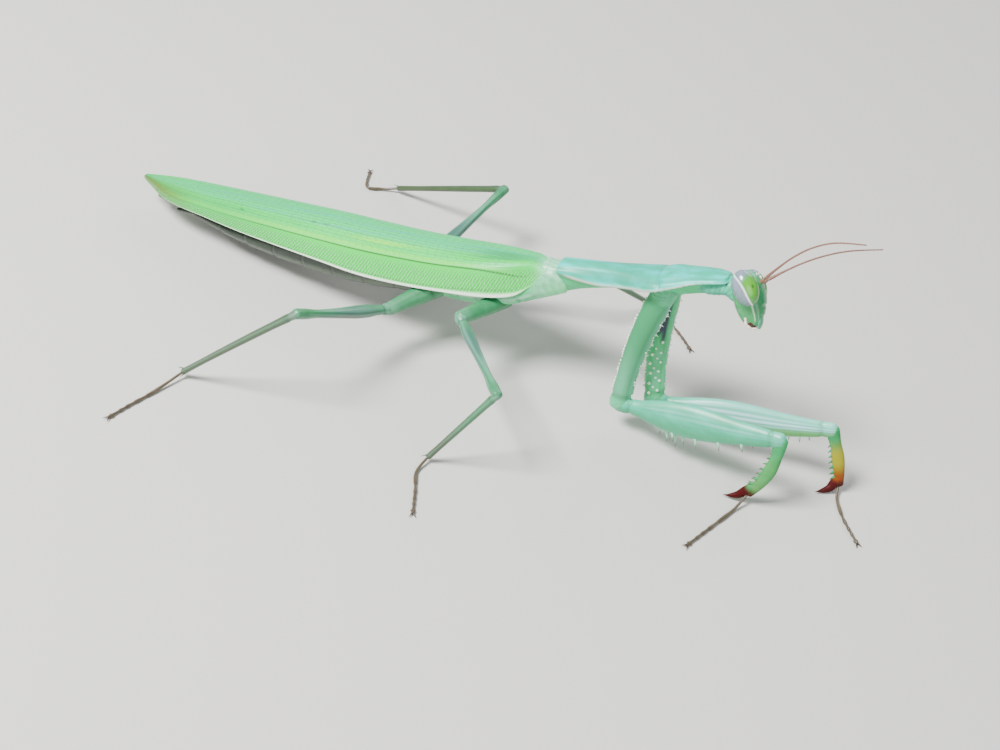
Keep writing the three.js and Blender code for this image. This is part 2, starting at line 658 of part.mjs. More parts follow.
// The soft neck between the pronotum and the back of the head.
const headWorld = (grow) => inWorld(head(grow), headFrame);
const neck = sweep({
  curve: new THREE.LineCurve3(
    foreFrame.localToWorld(vector(PRONOTUM_LENGTH - 2.2, 0, -1.75)),
    headFrame.localToWorld(vector(-0.6, 0, 1.15)),
  ),
  steps: 4, sides: 10, reference: vector(0, 1, 0), across: () => 1.15, deep: () => 1.15,
});
add('neck', shape([neck], [inWorld(prothorax(GAP), foreFrame), headWorld(GAP)]), 'joint');

// ---------------------------------------------------------------- legs

const floorBlock = new THREE.BoxGeometry(200, 200, 20);
floorBlock.deleteAttribute('uv');
floorBlock.deleteAttribute('normal');
const belowFloor = mergeVertices(floorBlock, 1e-4).translate(0, 0, -10);

const STEPS = { coxa: 6, femur: 10, tibia: 7 };

// A long piece of a leg from a point, along a direction, bowed in the leg's plane.
function legPiece(start, [length, heading, climb, bow = 0], girth, { reference, plane, steps, sides }) {
  const way = direction(heading, climb);
  const end = start.clone().addScaledVector(way, length);
  const bend = start.clone().lerp(end, 0.5).addScaledVector(plane.clone().cross(way).normalize(), 2 * bow);
  const curve = new THREE.QuadraticBezierCurve3(start, bend, end);
  const form = (grow = 0) => sweep({
    curve, steps, sides, reference, grow,
    across: (t) => along(girth.width, t), deep: (t) => along(girth.depth, t),
  });
  return { curve, end, form, girth, way };
}

// A row of spines along a leg piece, on the edge that faces towards a direction.
function spineRow(piece, row, towards, outside) {
  const last = row.lengths.length - 1;
  const aside = 0.5 * row.side;
  return row.lengths.map((length, i) => {
    const t = row.from + (row.to - row.from) * (i / last);
    const tangent = piece.curve.getTangentAt(t);
    const edge = towards.clone().addScaledVector(tangent, -towards.dot(tangent)).normalize();
    const foot = piece.curve.getPointAt(t)
      .addScaledVector(edge, along(piece.girth.depth, t) * Math.sqrt(1 - aside * aside))
      .addScaledVector(outside, along(piece.girth.width, t) * aside);
    const way = edge.clone().addScaledVector(tangent, row.lean).addScaledVector(outside, aside * 0.6);
    return thorn(foot, way.normalize(), length);
  });
}

// The foot's middle line: from the shin's end down to the floor and along it.
function footCurve(start, steps) {
  const points = [start.clone()];
  let at = start.clone();
  at.z = FOOT_LIFT;
  for (const [length, heading] of steps) {
    at = at.clone().addScaledVector(direction(heading, 0), length);
    points.push(at);
  }
  return new THREE.CatmullRomCurve3(points, false, 'centripetal');
}

const bodyForms = {
  fore: [inWorld(prothorax(GAP), foreFrame)],
  mid: [inWorld(thorax(GAP), hindFrame)],
  hind: [inWorld(thorax(GAP), hindFrame), inWorld(abdomen(GAP), hindFrame)],
};

// A foot's half width: each joint widens to its end, and the whole narrows to the claws.
const footWidth = (t) => FOOT_RADIUS * (1 - 0.2 * t) * (0.88 + 0.2 * ((t * FOOT_PARTS + 0.001) % 1));
const FOOT_CLAW = { length: 0.75, spread: 30, climb: -6, radius: 0.2 };

// The hooked claw at the end of a grasping shin.
function shinClaw(tibia, [length, heading, climb], bend, grow) {
  const hook = direction(heading, climb);
  const start = tibia.end.clone().addScaledVector(tibia.way, -0.9);
  const middle = tibia.end.clone().addScaledVector(hook, length * 0.4).addScaledVector(tibia.way, 0.15);
  const tip = tibia.end.clone().addScaledVector(hook, length);
  return sweep({
    curve: new THREE.CatmullRomCurve3([start, middle, tip]), steps: 6, sides: 6, reference: bend, grow,
    across: (t) => along([0.36, 0.3, 0.08], t), deep: (t) => along([0.4, 0.36, 0.08], t),
  });
}

for (const [leg, pose] of Object.entries(LEGS)) {
  const [pair, side] = leg.split('_');
  const grasping = pair === 'fore';
  const girth = GIRTH[pair];
  const femurWay = direction(pose.femur[1], pose.femur[2]);
  const tibiaWay = direction(pose.tibia[1], pose.tibia[2]);
  const bend = femurWay.clone().cross(tibiaWay).normalize();
  const outside = bend.clone().multiplyScalar(side === 'left' ? 1 : -1);
  const build = { reference: grasping ? bend : vector(0, 0, 1), plane: bend, sides: grasping ? 10 : 8 };

  const coxa = legPiece(vector(...pose.root), pose.coxa, girth.coxa, { ...build, steps: STEPS.coxa });
  const femur = legPiece(coxa.end, pose.femur, girth.femur, { ...build, steps: STEPS.femur });
  const tibia = legPiece(femur.end, pose.tibia, girth.tibia, { ...build, steps: STEPS.tibia });
  const footLine = footCurve(tibia.end, pose.foot);
  const foot = sweep({
    curve: footLine, steps: 2 * FOOT_PARTS, sides: 6, reference: vector(0, 0, 1),
    across: footWidth, deep: (t) => FOOT_RADIUS * (1 - 0.2 * t),
  });
  const footEnd = footLine.getPointAt(1);
  const footClaws = [-1, 1].map((turn) => thorn(
    footEnd,
    direction(pose.foot.at(-1)[1] + turn * FOOT_CLAW.spread, FOOT_CLAW.climb),
    FOOT_CLAW.length,
    FOOT_CLAW.radius,
  ));
  const shin = (grow) => (grasping
    ? [tibia.form(grow), shinClaw(tibia, pose.claw, bend, grow)]
    : [tibia.form(grow)]);
  const coxaTeeth = grasping ? spineRow(coxa, COXA_TEETH, femurWay, outside) : [];
  const femurSpines = grasping ? FEMUR_SPINES.flatMap((row) => spineRow(femur, row, tibiaWay, outside)) : [];
  const closing = femurWay.clone().negate();
  const tibiaSpines = grasping ? TIBIA_SPINES.flatMap((row) => spineRow(tibia, row, closing, outside)) : [];

  add(`${leg}_coxa`, shape([coxa.form(), ...coxaTeeth], bodyForms[pair]), 'cuticle');
  add(`${leg}_femur`, shape([femur.form(), ...femurSpines], [coxa.form(GAP)]), 'cuticle');
  add(`${leg}_tibia`, shape([...shin(0), ...tibiaSpines], [femur.form(GAP), belowFloor]), 'cuticle');
  add(`${leg}_tarsus`, shape([foot, ...footClaws], [...shin(GAP), belowFloor]), 'foot');
}

// ---------------------------------------------------------------- place on the floor

mantis.updateMatrixWorld(true);
const reach = new THREE.Box3().setFromObject(mantis, true);
const middle = reach.getCenter(new THREE.Vector3());
mantis.position.set(-middle.x, -middle.y, -reach.min.z);

export default mantis;
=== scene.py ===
"""A still, life-size green praying mantis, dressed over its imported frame.

Every size below is in millimetres and every angle in degrees, in the frame of the body.
It stands on the floor with +X towards the head, +Y to the animal's left and +Z up. Each
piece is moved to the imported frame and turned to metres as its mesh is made.
"""

import logging
import math
from abc import ABC, abstractmethod
from dataclasses import dataclass, field
from enum import Enum

import bpy
import numpy as np
from mathutils import Euler, Matrix, Vector


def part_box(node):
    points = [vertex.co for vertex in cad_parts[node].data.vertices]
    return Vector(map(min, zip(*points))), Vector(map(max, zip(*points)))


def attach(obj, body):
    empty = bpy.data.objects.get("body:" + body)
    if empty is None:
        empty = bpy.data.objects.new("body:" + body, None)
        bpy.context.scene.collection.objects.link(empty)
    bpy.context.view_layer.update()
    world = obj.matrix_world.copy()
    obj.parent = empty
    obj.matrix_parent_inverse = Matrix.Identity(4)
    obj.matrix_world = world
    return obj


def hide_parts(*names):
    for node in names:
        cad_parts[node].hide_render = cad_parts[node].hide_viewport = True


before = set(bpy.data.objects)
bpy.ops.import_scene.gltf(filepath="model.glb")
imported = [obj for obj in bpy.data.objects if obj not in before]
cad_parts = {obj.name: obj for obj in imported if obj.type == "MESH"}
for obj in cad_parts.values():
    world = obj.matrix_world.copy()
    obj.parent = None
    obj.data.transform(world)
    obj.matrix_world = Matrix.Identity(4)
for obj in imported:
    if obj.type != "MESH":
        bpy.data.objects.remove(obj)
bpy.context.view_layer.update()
log = logging.getLogger("mantis")

Array = np.ndarray
Numbers = tuple[float, ...]
Rows = tuple[Numbers, ...]
Tree = bpy.types.NodeTree
Socket = bpy.types.NodeSocket

MM = 0.001
BODY = "root"

WING_BASE_HEIGHT = 13.95
WING_SLOPE = 12.0
BODY_ROLL = 9.4
PRONOTUM_LENGTH = 20.0
PRONOTUM_PITCH = 23.1
HEAD_TURN = (15.6, 33.0, -38.9)  # yaw, pitch and roll

LEFTWARD = np.array([0.0, 1.0, 0.0])
UPWARD = np.array([0.0, 0.0, 1.0])


class Side(Enum):
    """The animal's left or right, by its word in node names and the sign of Y there."""

    LEFT = ("left", 1)
    RIGHT = ("right", -1)

    def __init__(self, word: str, hand: int) -> None:
        """Keeps the side's word and its sign."""
        self.word, self.hand = word, hand


# ---------------- curves and frames


def smooth(values: Numbers | Rows | Array, t: float | Array) -> Array:
    """Reads evenly spaced values off at t by a smooth curve through them.

    Between two values runs the cubic whose slope at each is half the rise from the
    value before to the value after.

    Args:
        values: Numbers or points at even steps.
        t: Places from 0, the first value, to 1, the last.

    Returns:
        The values at t.
    """
    table = np.asarray(values, float)
    last = len(table) - 1
    place = np.clip(np.asarray(t, float), 0.0, 1.0) * last
    i = np.minimum(place.astype(int), last - 1)
    f = place - i
    if table.ndim > 1:
        f = f[..., None]
    here, there = table[i], table[i + 1]
    rise_here = (there - table[np.maximum(i - 1, 0)]) / 2
    rise_there = (table[np.minimum(i + 2, last)] - here) / 2
    return (
        (2 * f**3 - 3 * f**2 + 1) * here
        + (f**3 - 2 * f**2 + f) * rise_here
        + (3 * f**2 - 2 * f**3) * there
        + (f**3 - f**2) * rise_there
    )


def bump(x: Array, centre: float | Array, width: float) -> Array:
    """A rounded hill of height 1 at centre: e to the minus square of (x - centre) / width."""
    return np.exp(-(((x - centre) / width) ** 2))


def step(x: Array, low: float, high: float) -> Array:
    """A smooth rise from 0 at low to 1 at high, by 3 s^2 - 2 s^3."""
    s = np.clip((x - low) / (high - low), 0.0, 1.0)
    return s * s * (3 - 2 * s)


def within(x: Array) -> Array:
    """The values held between 0 and 1, as a mask needs them."""
    return np.clip(x, 0, 1)


def unit(vectors: Array) -> Array:
    """The vectors scaled to length 1."""
    return vectors / np.linalg.norm(vectors, axis=-1, keepdims=True)


def run_length(line: Array) -> Array:
    """The length along a line of points, from 0 at the first to each of them."""
    return np.concatenate([[0], np.cumsum(np.linalg.norm(np.diff(line, axis=0), axis=1))])


def heading(turn: float, climb: float) -> Array:
    """A unit vector from a turn from +X to +Y and a climb from level, in degrees."""
    a, b = math.radians(turn), math.radians(climb)
    return np.array([math.cos(b) * math.cos(a), math.cos(b) * math.sin(a), math.sin(b)])


@dataclass(frozen=True)
class Placement:
    """A frame of a body part: its origin, and its front, left and up axes as columns."""

    origin: Array
    axes: Array

    @classmethod
    def turned(cls, origin: Array, yaw: float, pitch: float, roll: float) -> "Placement":
        """A frame at origin, turned by yaw, then raised by pitch, then rolled, in degrees."""
        angles = (math.radians(roll), -math.radians(pitch), math.radians(yaw))
        return cls(np.asarray(origin, float), np.array(Euler(angles, "XYZ").to_matrix()))

    def out(self, points: Array) -> Array:
        """Points of this frame as points of the body's frame."""
        return np.asarray(points, float) @ self.axes.T + self.origin


WING_BASE = np.array([0.0, 0.0, WING_BASE_HEIGHT])
HIND = Placement.turned(WING_BASE, 0, WING_SLOPE, -BODY_ROLL)
FORE = Placement.turned(WING_BASE, 0, PRONOTUM_PITCH, -BODY_ROLL)
NECK_JOINT = FORE.out(np.array([PRONOTUM_LENGTH - 0.2, 0.0, -1.9]))
NECK_TO_HEAD = np.array([1.75, 0.0, -1.6])
HEAD = Placement.turned(Placement.turned(NECK_JOINT, *HEAD_TURN).out(NECK_TO_HEAD), *HEAD_TURN)
EYE_MIDDLE = np.array([0.2, 2.2, 1.25])


def find_shift() -> Array:
    """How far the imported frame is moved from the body's frame, read off the left eye."""
    low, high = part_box("eye_left")
    return (np.array(low) + np.array(high)) / 2 / MM - HEAD.out(EYE_MIDDLE)


SHIFT = find_shift()


# ---------------- meshes


class Cap(Enum):
    """How the end rings of a grid are closed."""

    FAN = "fan"
    STRIP = "strip"


@dataclass
class Shell:
    """A mesh collected from grids of points in millimetres, with named masks on them.

    Attributes:
        points: The points of each grid.
        faces: Four point numbers a face, the last one -1 in a triangle.
        masks: Each grid's number of points and its masks by name.
        count: The number of points so far.
    """

    points: list[Array] = field(default_factory=list)
    faces: list[Array] = field(default_factory=list)
    masks: list[tuple[int, dict[str, Array]]] = field(default_factory=list)
    count: int = 0

    def add(self, grid: Array, cap: Cap = Cap.FAN, **masks: Array | float) -> None:
        """Adds a grid of rings, closed around and at both ends, with its faces outwards.

        The faces are turned round where the volume under them comes out negative.

        Args:
            grid: Points as an array of rings by sides by 3.
            cap: How the ends are closed: to a middle point, or side to side.
            masks: A number for each point, or one for all, by attribute name.
        """
        rings, sides = grid.shape[:2]
        index = np.arange(rings * sides).reshape(rings, sides)
        a, b = index[:-1], index[1:]
        quads = np.stack([a, np.roll(a, -1, 1), np.roll(b, -1, 1), b], -1).reshape(-1, 4)
        points = grid.reshape(-1, 3)
        marks = {
            name: np.broadcast_to(np.asarray(values, float), (rings, sides)).reshape(-1)
            for name, values in masks.items()
        }
        if cap is Cap.FAN:
            ends = self.fans(index[0], index[-1], len(points))
            points = np.vstack([points, grid[0].mean(0), grid[-1].mean(0)])
            marks = {
                name: np.append(values, [values[:sides].mean(), values[-sides:].mean()])
                for name, values in marks.items()
            }
        else:
            ends = [self.strip(index[0])[:, ::-1], self.strip(index[-1])]
        faces = np.vstack([quads, *ends])
        if self.volume(points, faces) < 0:
            whole = faces[:, 3] >= 0
            faces[whole] = faces[whole][:, ::-1]
            faces[~whole, :3] = faces[~whole, 2::-1]
        self.points.append(points)
        self.faces.append(np.where(faces >= 0, faces + self.count, -1))
        self.masks.append((len(points), marks))
        self.count += len(points)

    @staticmethod
    def fans(first: Array, last: Array, top: int) -> list[Array]:
        """Triangles from the first and the last ring to a middle point each.

        Args:
            first: The point numbers of the first ring.
            last: The point numbers of the last ring.
            top: The number of the first middle point, which the second one follows.

        Returns:
            The faces at the start and at the end.
        """
        none = np.full(len(first), -1)
        return [
            np.stack([np.roll(first, -1), first, np.full(len(first), top), none], -1),
            np.stack([last, np.roll(last, -1), np.full(len(first), top + 1), none], -1),
        ]

    @staticmethod
    def strip(ring: Array) -> Array:
        """Quads across a flat ring, from each point of its first half to one of its second."""
        near, far = np.split(ring, 2)
        return np.stack([near[:-1], near[1:], far[::-1][1:], far[::-1][:-1]], -1)

    @staticmethod
    def volume(points: Array, faces: Array) -> float:
        """The volume under the faces: the sum of a . (b x c) / 6 over their triangles.

        Args:
            points: The points.
            faces: Four point numbers a face, the last one -1 in a triangle.

        Returns:
            The volume, negative where the faces point inwards.
        """
        centred = points - points.mean(0)
        a, b, c = (centred[faces[:, k]] for k in range(3))
        total = np.einsum("ij,ij->", a, np.cross(b, c))
        whole = faces[:, 3] >= 0
        d = centred[faces[whole, 3]]
        return float(total + np.einsum("ij,ij->", a[whole], np.cross(c[whole], d))) / 6

    def mesh(self, name: str) -> bpy.types.Mesh:
        """Makes the shell a smooth mesh in metres, with its masks as point attributes.

        Args:
            name: The mesh's name.

        Returns:
            The mesh.
        """
        points = (np.vstack(self.points) + SHIFT) * MM
        faces = np.vstack(self.faces)
        sizes = np.where(faces[:, 3] >= 0, 4, 3)
        corners = faces[faces >= 0]
        mesh = bpy.data.meshes.new(name)
        mesh.vertices.add(len(points))
        mesh.vertices.foreach_set("co", points.reshape(-1))
        mesh.loops.add(len(corners))
        mesh.loops.foreach_set("vertex_index", corners)
        mesh.polygons.add(len(faces))
        mesh.polygons.foreach_set("loop_start", np.concatenate([[0], np.cumsum(sizes)[:-1]]))
        mesh.polygons.foreach_set("loop_total", sizes)
        mesh.polygons.foreach_set("use_smooth", np.ones(len(faces), bool))
        for key in sorted({key for _, marks in self.masks for key in marks}):
            values = [marks.get(key, np.zeros(size)) for size, marks in self.masks]
            attribute = mesh.attributes.new(key, "FLOAT", "POINT")
            attribute.data.foreach_set("value", np.concatenate(values).astype(np.float32))
        mesh.update()
        mesh.validate()
        return mesh

    def dress(self, name: str, finish: "Finish") -> None:
        """Makes the shell the skin of a node of the frame, which rides on the body.

        Args:
            name: The node that it stands for.
            finish: Its finish.
        """
        mesh = self.mesh(f"{name}_skin")
        mesh.materials.append(finish.material())
        piece = bpy.data.objects.new(mesh.name, mesh)
        bpy.context.scene.collection.objects.link(piece)
        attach(piece, BODY)
        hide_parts(name)
        log.info("%s: %d points, %d faces", piece.name, len(mesh.vertices), len(mesh.polygons))


TUBE_DOME = 86.0  # degrees; short of a right angle, so that the last ring keeps some width
LOFT_DOME = 84.0


@dataclass
class Tube:
    """A closed form swept along a path, with its width measured along a reference.

    Attributes:
        path: Points that the middle line runs through smoothly.
        width: Half widths at even steps from start to end.
        depth: Half depths, square to the width.
        reference: The direction that the width lies along.
        rings: Rings between the ends.
        sides: Points on a ring.
        blunt: How far each end bulges, as a share of its half depth.
        end_rings: Rings in the dome at each end.
        line_points: Points of the fine line that the rings are set on.
        t: Each ring's place from 0 to 1.
        turn: Each side's angle.
        middle: Each ring's middle.
        across: Each ring's direction of width.
        deep: Each ring's direction of depth.
        radii: Each ring's half width and half depth.
    """

    path: Array
    width: Numbers
    depth: Numbers
    reference: Array
    rings: int = 60
    sides: int = 32
    blunt: tuple[float, float] = (0.7, 0.7)
    end_rings: int = 6
    line_points: int = 200
    t: Array = field(init=False)
    turn: Array = field(init=False)
    middle: Array = field(init=False)
    across: Array = field(init=False)
    deep: Array = field(init=False)
    radii: tuple[Array, Array] = field(init=False)

    def __post_init__(self) -> None:
        """Works out the frame of every ring, with the end rings drawn in to a dome.

        At an end the ring stands sin(a) beyond the path's end and is cos(a) as wide, for
        angles a from 0 to nearly a right angle.
        """
        end = np.radians(np.linspace(0, TUBE_DOME, self.end_rings + 1))[1:]
        draw = np.concatenate([np.cos(end[::-1]), np.ones(self.rings), np.cos(end)])
        spread = np.linspace(0, 1, self.rings)
        self.t = np.concatenate([np.zeros(self.end_rings), spread, np.ones(self.end_rings)])
        wide, deep = smooth(self.width, self.t), smooth(self.depth, self.t)
        steps = np.linspace(0, 1, self.line_points)
        line = smooth(self.path, steps)
        length = run_length(line)
        place = np.interp(self.t * length[-1], length, steps)
        slopes = np.gradient(line, axis=0)
        number, last = np.arange(self.line_points), self.line_points - 1
        tangent = unit(np.stack([np.interp(place * last, number, slopes[:, k]) for k in range(3)], -1))
        push = np.concatenate([
            -np.sin(end[::-1]) * self.blunt[0] * deep[0],
            np.zeros(self.rings),
            np.sin(end) * self.blunt[1] * deep[-1],
        ])
        self.deep = unit(np.cross(tangent, self.reference))
        self.across = unit(np.cross(self.deep, tangent))
        self.middle = smooth(self.path, place) + tangent * push[:, None]
        self.turn = (np.arange(self.sides) + 0.5) * 2 * np.pi / self.sides
        self.radii = (wide * draw, deep * draw)

    def grid(self, relief: Array | float = 0.0) -> Array:
        """The rings as points: middle + width cos(turn) + depth sin(turn), plus relief.

        Args:
            relief: Extra height in millimetres outwards, for each ring and side.

        Returns:
            Points as an array of rings by sides by 3.
        """
        c, s = np.cos(self.turn), np.sin(self.turn)
        wide, deep = self.radii
        drawn = within(wide / (smooth(self.width, self.t) + 1e-9))[:, None]
        extra = np.asarray(relief) * drawn
        a = (wide[:, None] + extra) * c
        b = (deep[:, None] + extra) * s
        return self.middle[:, None] + a[..., None] * self.across[:, None] + b[..., None] * self.deep[:, None]

    def nearest(self, place: float) -> int:
        """The number of the ring nearest to a place from 0 to 1."""
        return int(np.argmin(np.abs(self.t - place)))

    def tangent(self, ring: int) -> Array:
        """The unit direction of the middle line at a ring."""
        return unit(self.middle[min(ring + 1, len(self.t) - 1)] - self.middle[ring - 1])


SPINE_SIDES = 9
SPINE_RISE = np.linspace(0, 1, 8)[:, None]  # how far up a spine each of its rings lies
ASKEW = np.array([0.31, 0.52, 0.79])  # a direction that no spine grows along


def cone(
    foot: Array, way: Array, length: float, radius: float, bend: Array | float = 0.0
) -> Array:
    """A sharp spine as a grid: rings that narrow as 1 - h^1.6 along a slightly bent line.

    Its root reaches twice its radius and 0.1 mm more under its foot, into what carries it.

    Args:
        foot: Where its root stands.
        way: The unit direction it grows along.
        length: Its length.
        radius: Its radius at the root.
        bend: How far its tip is bent aside.

    Returns:
        Points as an array of rings by sides by 3.
    """
    aside = unit(np.cross(way, ASKEW))
    other = np.cross(way, aside)
    turn = np.arange(SPINE_SIDES) * 2 * np.pi / SPINE_SIDES
    size = radius * np.clip(1 - SPINE_RISE**1.6, 0.03, 1)
    root = 2 * radius + 0.1
    middle = foot + (SPINE_RISE * (length + root) - root) * way + SPINE_RISE**2 * bend
    ring = np.cos(turn)[:, None] * aside + np.sin(turn)[:, None] * other
    return middle[:, None] + size[:, None] * ring


def ball(
    middle: Array,
    radii: Numbers | float,
    axes: Array | None = None,
    rings: int = 14,
    sides: int = 18,
) -> Array:
    """An ellipsoid as a grid from pole to pole along the third axis.

    Args:
        middle: Its middle.
        radii: Its half sizes along the axes.
        axes: Its axes as columns.
        rings: Rings between the poles.
        sides: Points on a ring.

    Returns:
        Points as an array of rings by sides by 3.
    """
    pole = math.pi / 2 - 0.02
    high = np.linspace(-pole, pole, rings)[:, None]
    turn = np.arange(sides) * 2 * np.pi / sides
    wide = np.cos(high)
    on = np.stack([wide * np.cos(turn), wide * np.sin(turn), np.sin(high) + 0 * turn], -1)
    on = on * np.asarray(radii)
    return (on if axes is None else on @ axes.T) + middle


def loft(
    rows: Array, sides: int, square: float = 1.0, tuck: float | Array = 0.0
) -> tuple[Array, Array, Array]:
    """A body form from rows of [x, half width, top, widest height, bottom].

    A point at turn a stands at width cos(a) aside and reach sin(a) up from the widest
    height, each to the power square, where reach is what is left to the top or bottom.
    Under the widest height the width shrinks by tuck times the root of -sin(a).

    Args:
        rows: The rows, from one end to the other.
        sides: Points on a ring.
        square: Below 1 makes the section fuller than an ellipse.
        tuck: How far the sides draw in underneath.

    Returns:
        The points, and the cosine and sine of each point's turn.
    """
    turn = (np.arange(sides) + 0.5) * 2 * np.pi / sides
    c, s = np.cos(turn)[None], np.sin(turn)[None]
    x, width, top, waist, bottom = (rows[:, k, None] for k in range(5))
    reach = np.where(s > 0, top - waist, waist - bottom)
    drawn = np.where(s < 0, 1 - tuck * np.sqrt(within(-s)), 1.0)
    points = np.stack([
        x + 0 * c,
        width * drawn * np.sign(c) * np.abs(c) ** square,
        waist + reach * np.sign(s) * np.abs(s) ** square,
    ], -1)
    shape = points.shape[:2]
    return points, np.broadcast_to(c, shape), np.broadcast_to(s, shape)


def dome(row: Array, bulge: float, rings: int = 7) -> Array:
    """Rows that close a body form beyond one of its end rows.

    The row at angle a lies sin(a) of the bulge beyond the end and is cos(a) as large.

    Args:
        row: The end row, as in loft.
        bulge: How far the dome reaches along x, with its sign.
        rings: Rows in the dome.

    Returns:
        The rows, from the end outwards.
    """
    angle = np.radians(np.linspace(0, LOFT_DOME, rings + 1))[1:]
    size = np.cos(angle)
    x, width, top, waist, bottom = row
    return np.stack([
        x + bulge * np.sin(angle),
        width * size,
        waist + (top - waist) * size,
        np.full(rings, waist),
        waist + (bottom - waist) * size,
    ], -1)


def domed(rows: Array, start: float, end: float) -> Array:
    """Adds rows that close both ends of a body form with a dome.

    Args:
        rows: Rows as in loft.
        start: How far the dome bulges before the first row.
        end: How far it bulges after the last.

    Returns:
        The rows with the domes.
    """
    sign = np.sign(rows[-1, 0] - rows[0, 0])
    return np.vstack([dome(rows[0], -sign * start)[::-1], rows, dome(rows[-1], sign * end)])


def raised(grid: Array, relief: Array) -> Array:
    """Moves the points of a form outwards, along the cross product of its grid's slopes.

    Args:
        grid: Points as an array of rings by sides by 3.
        relief: How far each one moves.

    Returns:
        The moved points.
    """
    along = np.gradient(grid, axis=0)
    around = np.roll(grid, -1, 1) - np.roll(grid, 1, 1)
    out = np.cross(along, around)
    out /= np.linalg.norm(out, axis=-1, keepdims=True) + 1e-12
    away = grid - grid.mean(1, keepdims=True)
    out *= np.sign(np.einsum("rsk,rsk->", out, away))
    return grid + out * np.asarray(relief)[..., None]


# ---------------- finishes


MATH = "ShaderNodeMath"
MIX = "ShaderNodeMix"
NOISE = "ShaderNodeTexNoise"
CELLS = "ShaderNodeTexVoronoi"
RANGE = "ShaderNodeMapRange"
MASK = "ShaderNodeAttribute"
PLACE = "ShaderNodeTexCoord"

AMOUNT, UNDER, OVER, MIXED = 0, 6, 7, 2  # the sockets of a Mix node that mixes colours


def linear(code: str) -> tuple[float, float, float, float]:
    """The linear colour of an sRGB hex value such as #82cdb4."""
    values = [int(code[k : k + 2], 16) / 255 for k in (1, 3, 5)]
    return (*(v / 12.92 if v <= 0.04045 else ((v + 0.055) / 1.055) ** 2.4 for v in values), 1.0)


def node(
    tree: Tree,
    kind: str,
    inputs: dict[int | str, object] | None = None,
    output: int | str = 0,
    **settings: object,
) -> Socket:
    """Adds a node with its settings, and sets or links its inputs.

    Args:
        tree: The node tree.
        kind: The node's type.
        inputs: A value or an output socket for each input, by name or number.
        output: The name or number of the output that is wanted.
        settings: The node's own properties.

    Returns:
        The output socket.
    """
    made = tree.nodes.new(kind)
    for key, value in settings.items():
        setattr(made, key, value)
    for key, value in (inputs or {}).items():
        if isinstance(value, Socket):
            tree.links.new(value, made.inputs[key])
        else:
            made.inputs[key].default_value = value
    return made.outputs[output]


@dataclass(frozen=True)
class Layer:
    """A colour laid over the skin where a mask is high."""

    mask: str
    colour: str
    amount: float = 1.0


@dataclass(frozen=True)
class Finish:
    """Insect cuticle, tanned chitin under a thin wax: satin, a little clear, softly clouded.

    Attributes:
        slot: The name of a material slot; nothing in this script reads it.
        cloud: The colour of the soft clouds in it.
        cloud_size: The clouds' size in millimetres.
        cloud_amount: How strong they are.
        cloud_edge: The noise values where they start and are full.
        stretch: How the clouds are stretched along the three axes.
        grain_size: The size in millimetres of the fine pits that break up the gloss.
        grain_depth: Their depth in millimetres, drawn deeper than real so that they show.
        depth: The share of light that goes a little way into it.
        light_reach: How far red, green and blue light go into it, in metres.
        wax: The weight of the clear wax on top.
        ior: How strongly it bends light: 1.54 for bare chitin, lower where it looks duller.
    """

    name: str
    slot: str
    base: str
    cloud: str
    cloud_size: float = 1.4
    cloud_amount: float = 0.5
    cloud_edge: tuple[float, float] = (0.38, 0.68)
    stretch: tuple[float, float, float] = (1.0, 1.0, 1.0)
    grain_size: float = 0.16
    grain_depth: float = 0.012
    roughness: float = 0.4
    layers: tuple[Layer, ...] = ()
    depth: float = 0.12
    light_reach: tuple[float, float, float] = (0.0003, 0.0004, 0.0002)
    wax: float = 0.1
    wax_roughness: float = 0.2
    ior: float = 1.54

    def colour(self, tree: Tree) -> Socket:
        """Clouds of one colour in another, then the layers in order.

        Args:
            tree: The material's node tree.

        Returns:
            The colour's socket.
        """
        place = node(tree, PLACE, output="Object")
        place = node(tree, "ShaderNodeMapping", {"Vector": place, "Scale": self.stretch})
        noise = node(tree, NOISE, {"Vector": place, "Scale": 1 / (self.cloud_size * MM), "Detail": 4.0})
        low, high = self.cloud_edge
        edge = {"Value": noise, "From Min": low, "From Max": high, "To Max": self.cloud_amount}
        cloud = node(tree, RANGE, edge)
        colours = {AMOUNT: cloud, UNDER: linear(self.base), OVER: linear(self.cloud)}
        shade = node(tree, MIX, colours, MIXED, data_type="RGBA")
        for layer in self.layers:
            mask = node(tree, MASK, output="Fac", attribute_name=layer.mask)
            amount = node(tree, MATH, {0: mask, 1: layer.amount}, operation="MULTIPLY")
            colours = {AMOUNT: amount, UNDER: shade, OVER: linear(layer.colour)}
            shade = node(tree, MIX, colours, MIXED, data_type="RGBA")
        return shade

    def height(self, tree: Tree) -> Socket:
        """The grain's height in metres, by fine noise.

        Args:
            tree: The material's node tree.

        Returns:
            The height's socket.
        """
        place = node(tree, PLACE, output="Object")
        grain = node(tree, NOISE, {"Vector": place, "Scale": 1 / (self.grain_size * MM), "Detail": 2.0})
        return node(tree, MATH, {0: grain, 1: self.grain_depth * MM}, operation="MULTIPLY")

    def material(self) -> bpy.types.Material:
        """Makes the material, or gives the one made before.

        Returns:
            The material.
        """
        kept = bpy.data.materials.get(self.name)
        if kept:
            return kept
        material = bpy.data.materials.new(self.name)
        material.use_nodes = True
        tree = material.node_tree
        shader = tree.nodes["Principled BSDF"]
        for key, value in {
            "Roughness": self.roughness,
            "IOR": self.ior,
            "Subsurface Weight": self.depth,
            "Subsurface Radius": self.light_reach,
            "Subsurface Scale": 1.0,
            "Coat Weight": self.wax,
            "Coat Roughness": self.wax_roughness,
        }.items():
            shader.inputs[key].default_value = value
        tree.links.new(self.colour(tree), shader.inputs["Base Color"])
        bumped = node(tree, "ShaderNodeBump", {"Height": self.height(tree), "Distance": 1.0, "Strength": 1.0})
        tree.links.new(bumped, shader.inputs["Normal"])
        return material


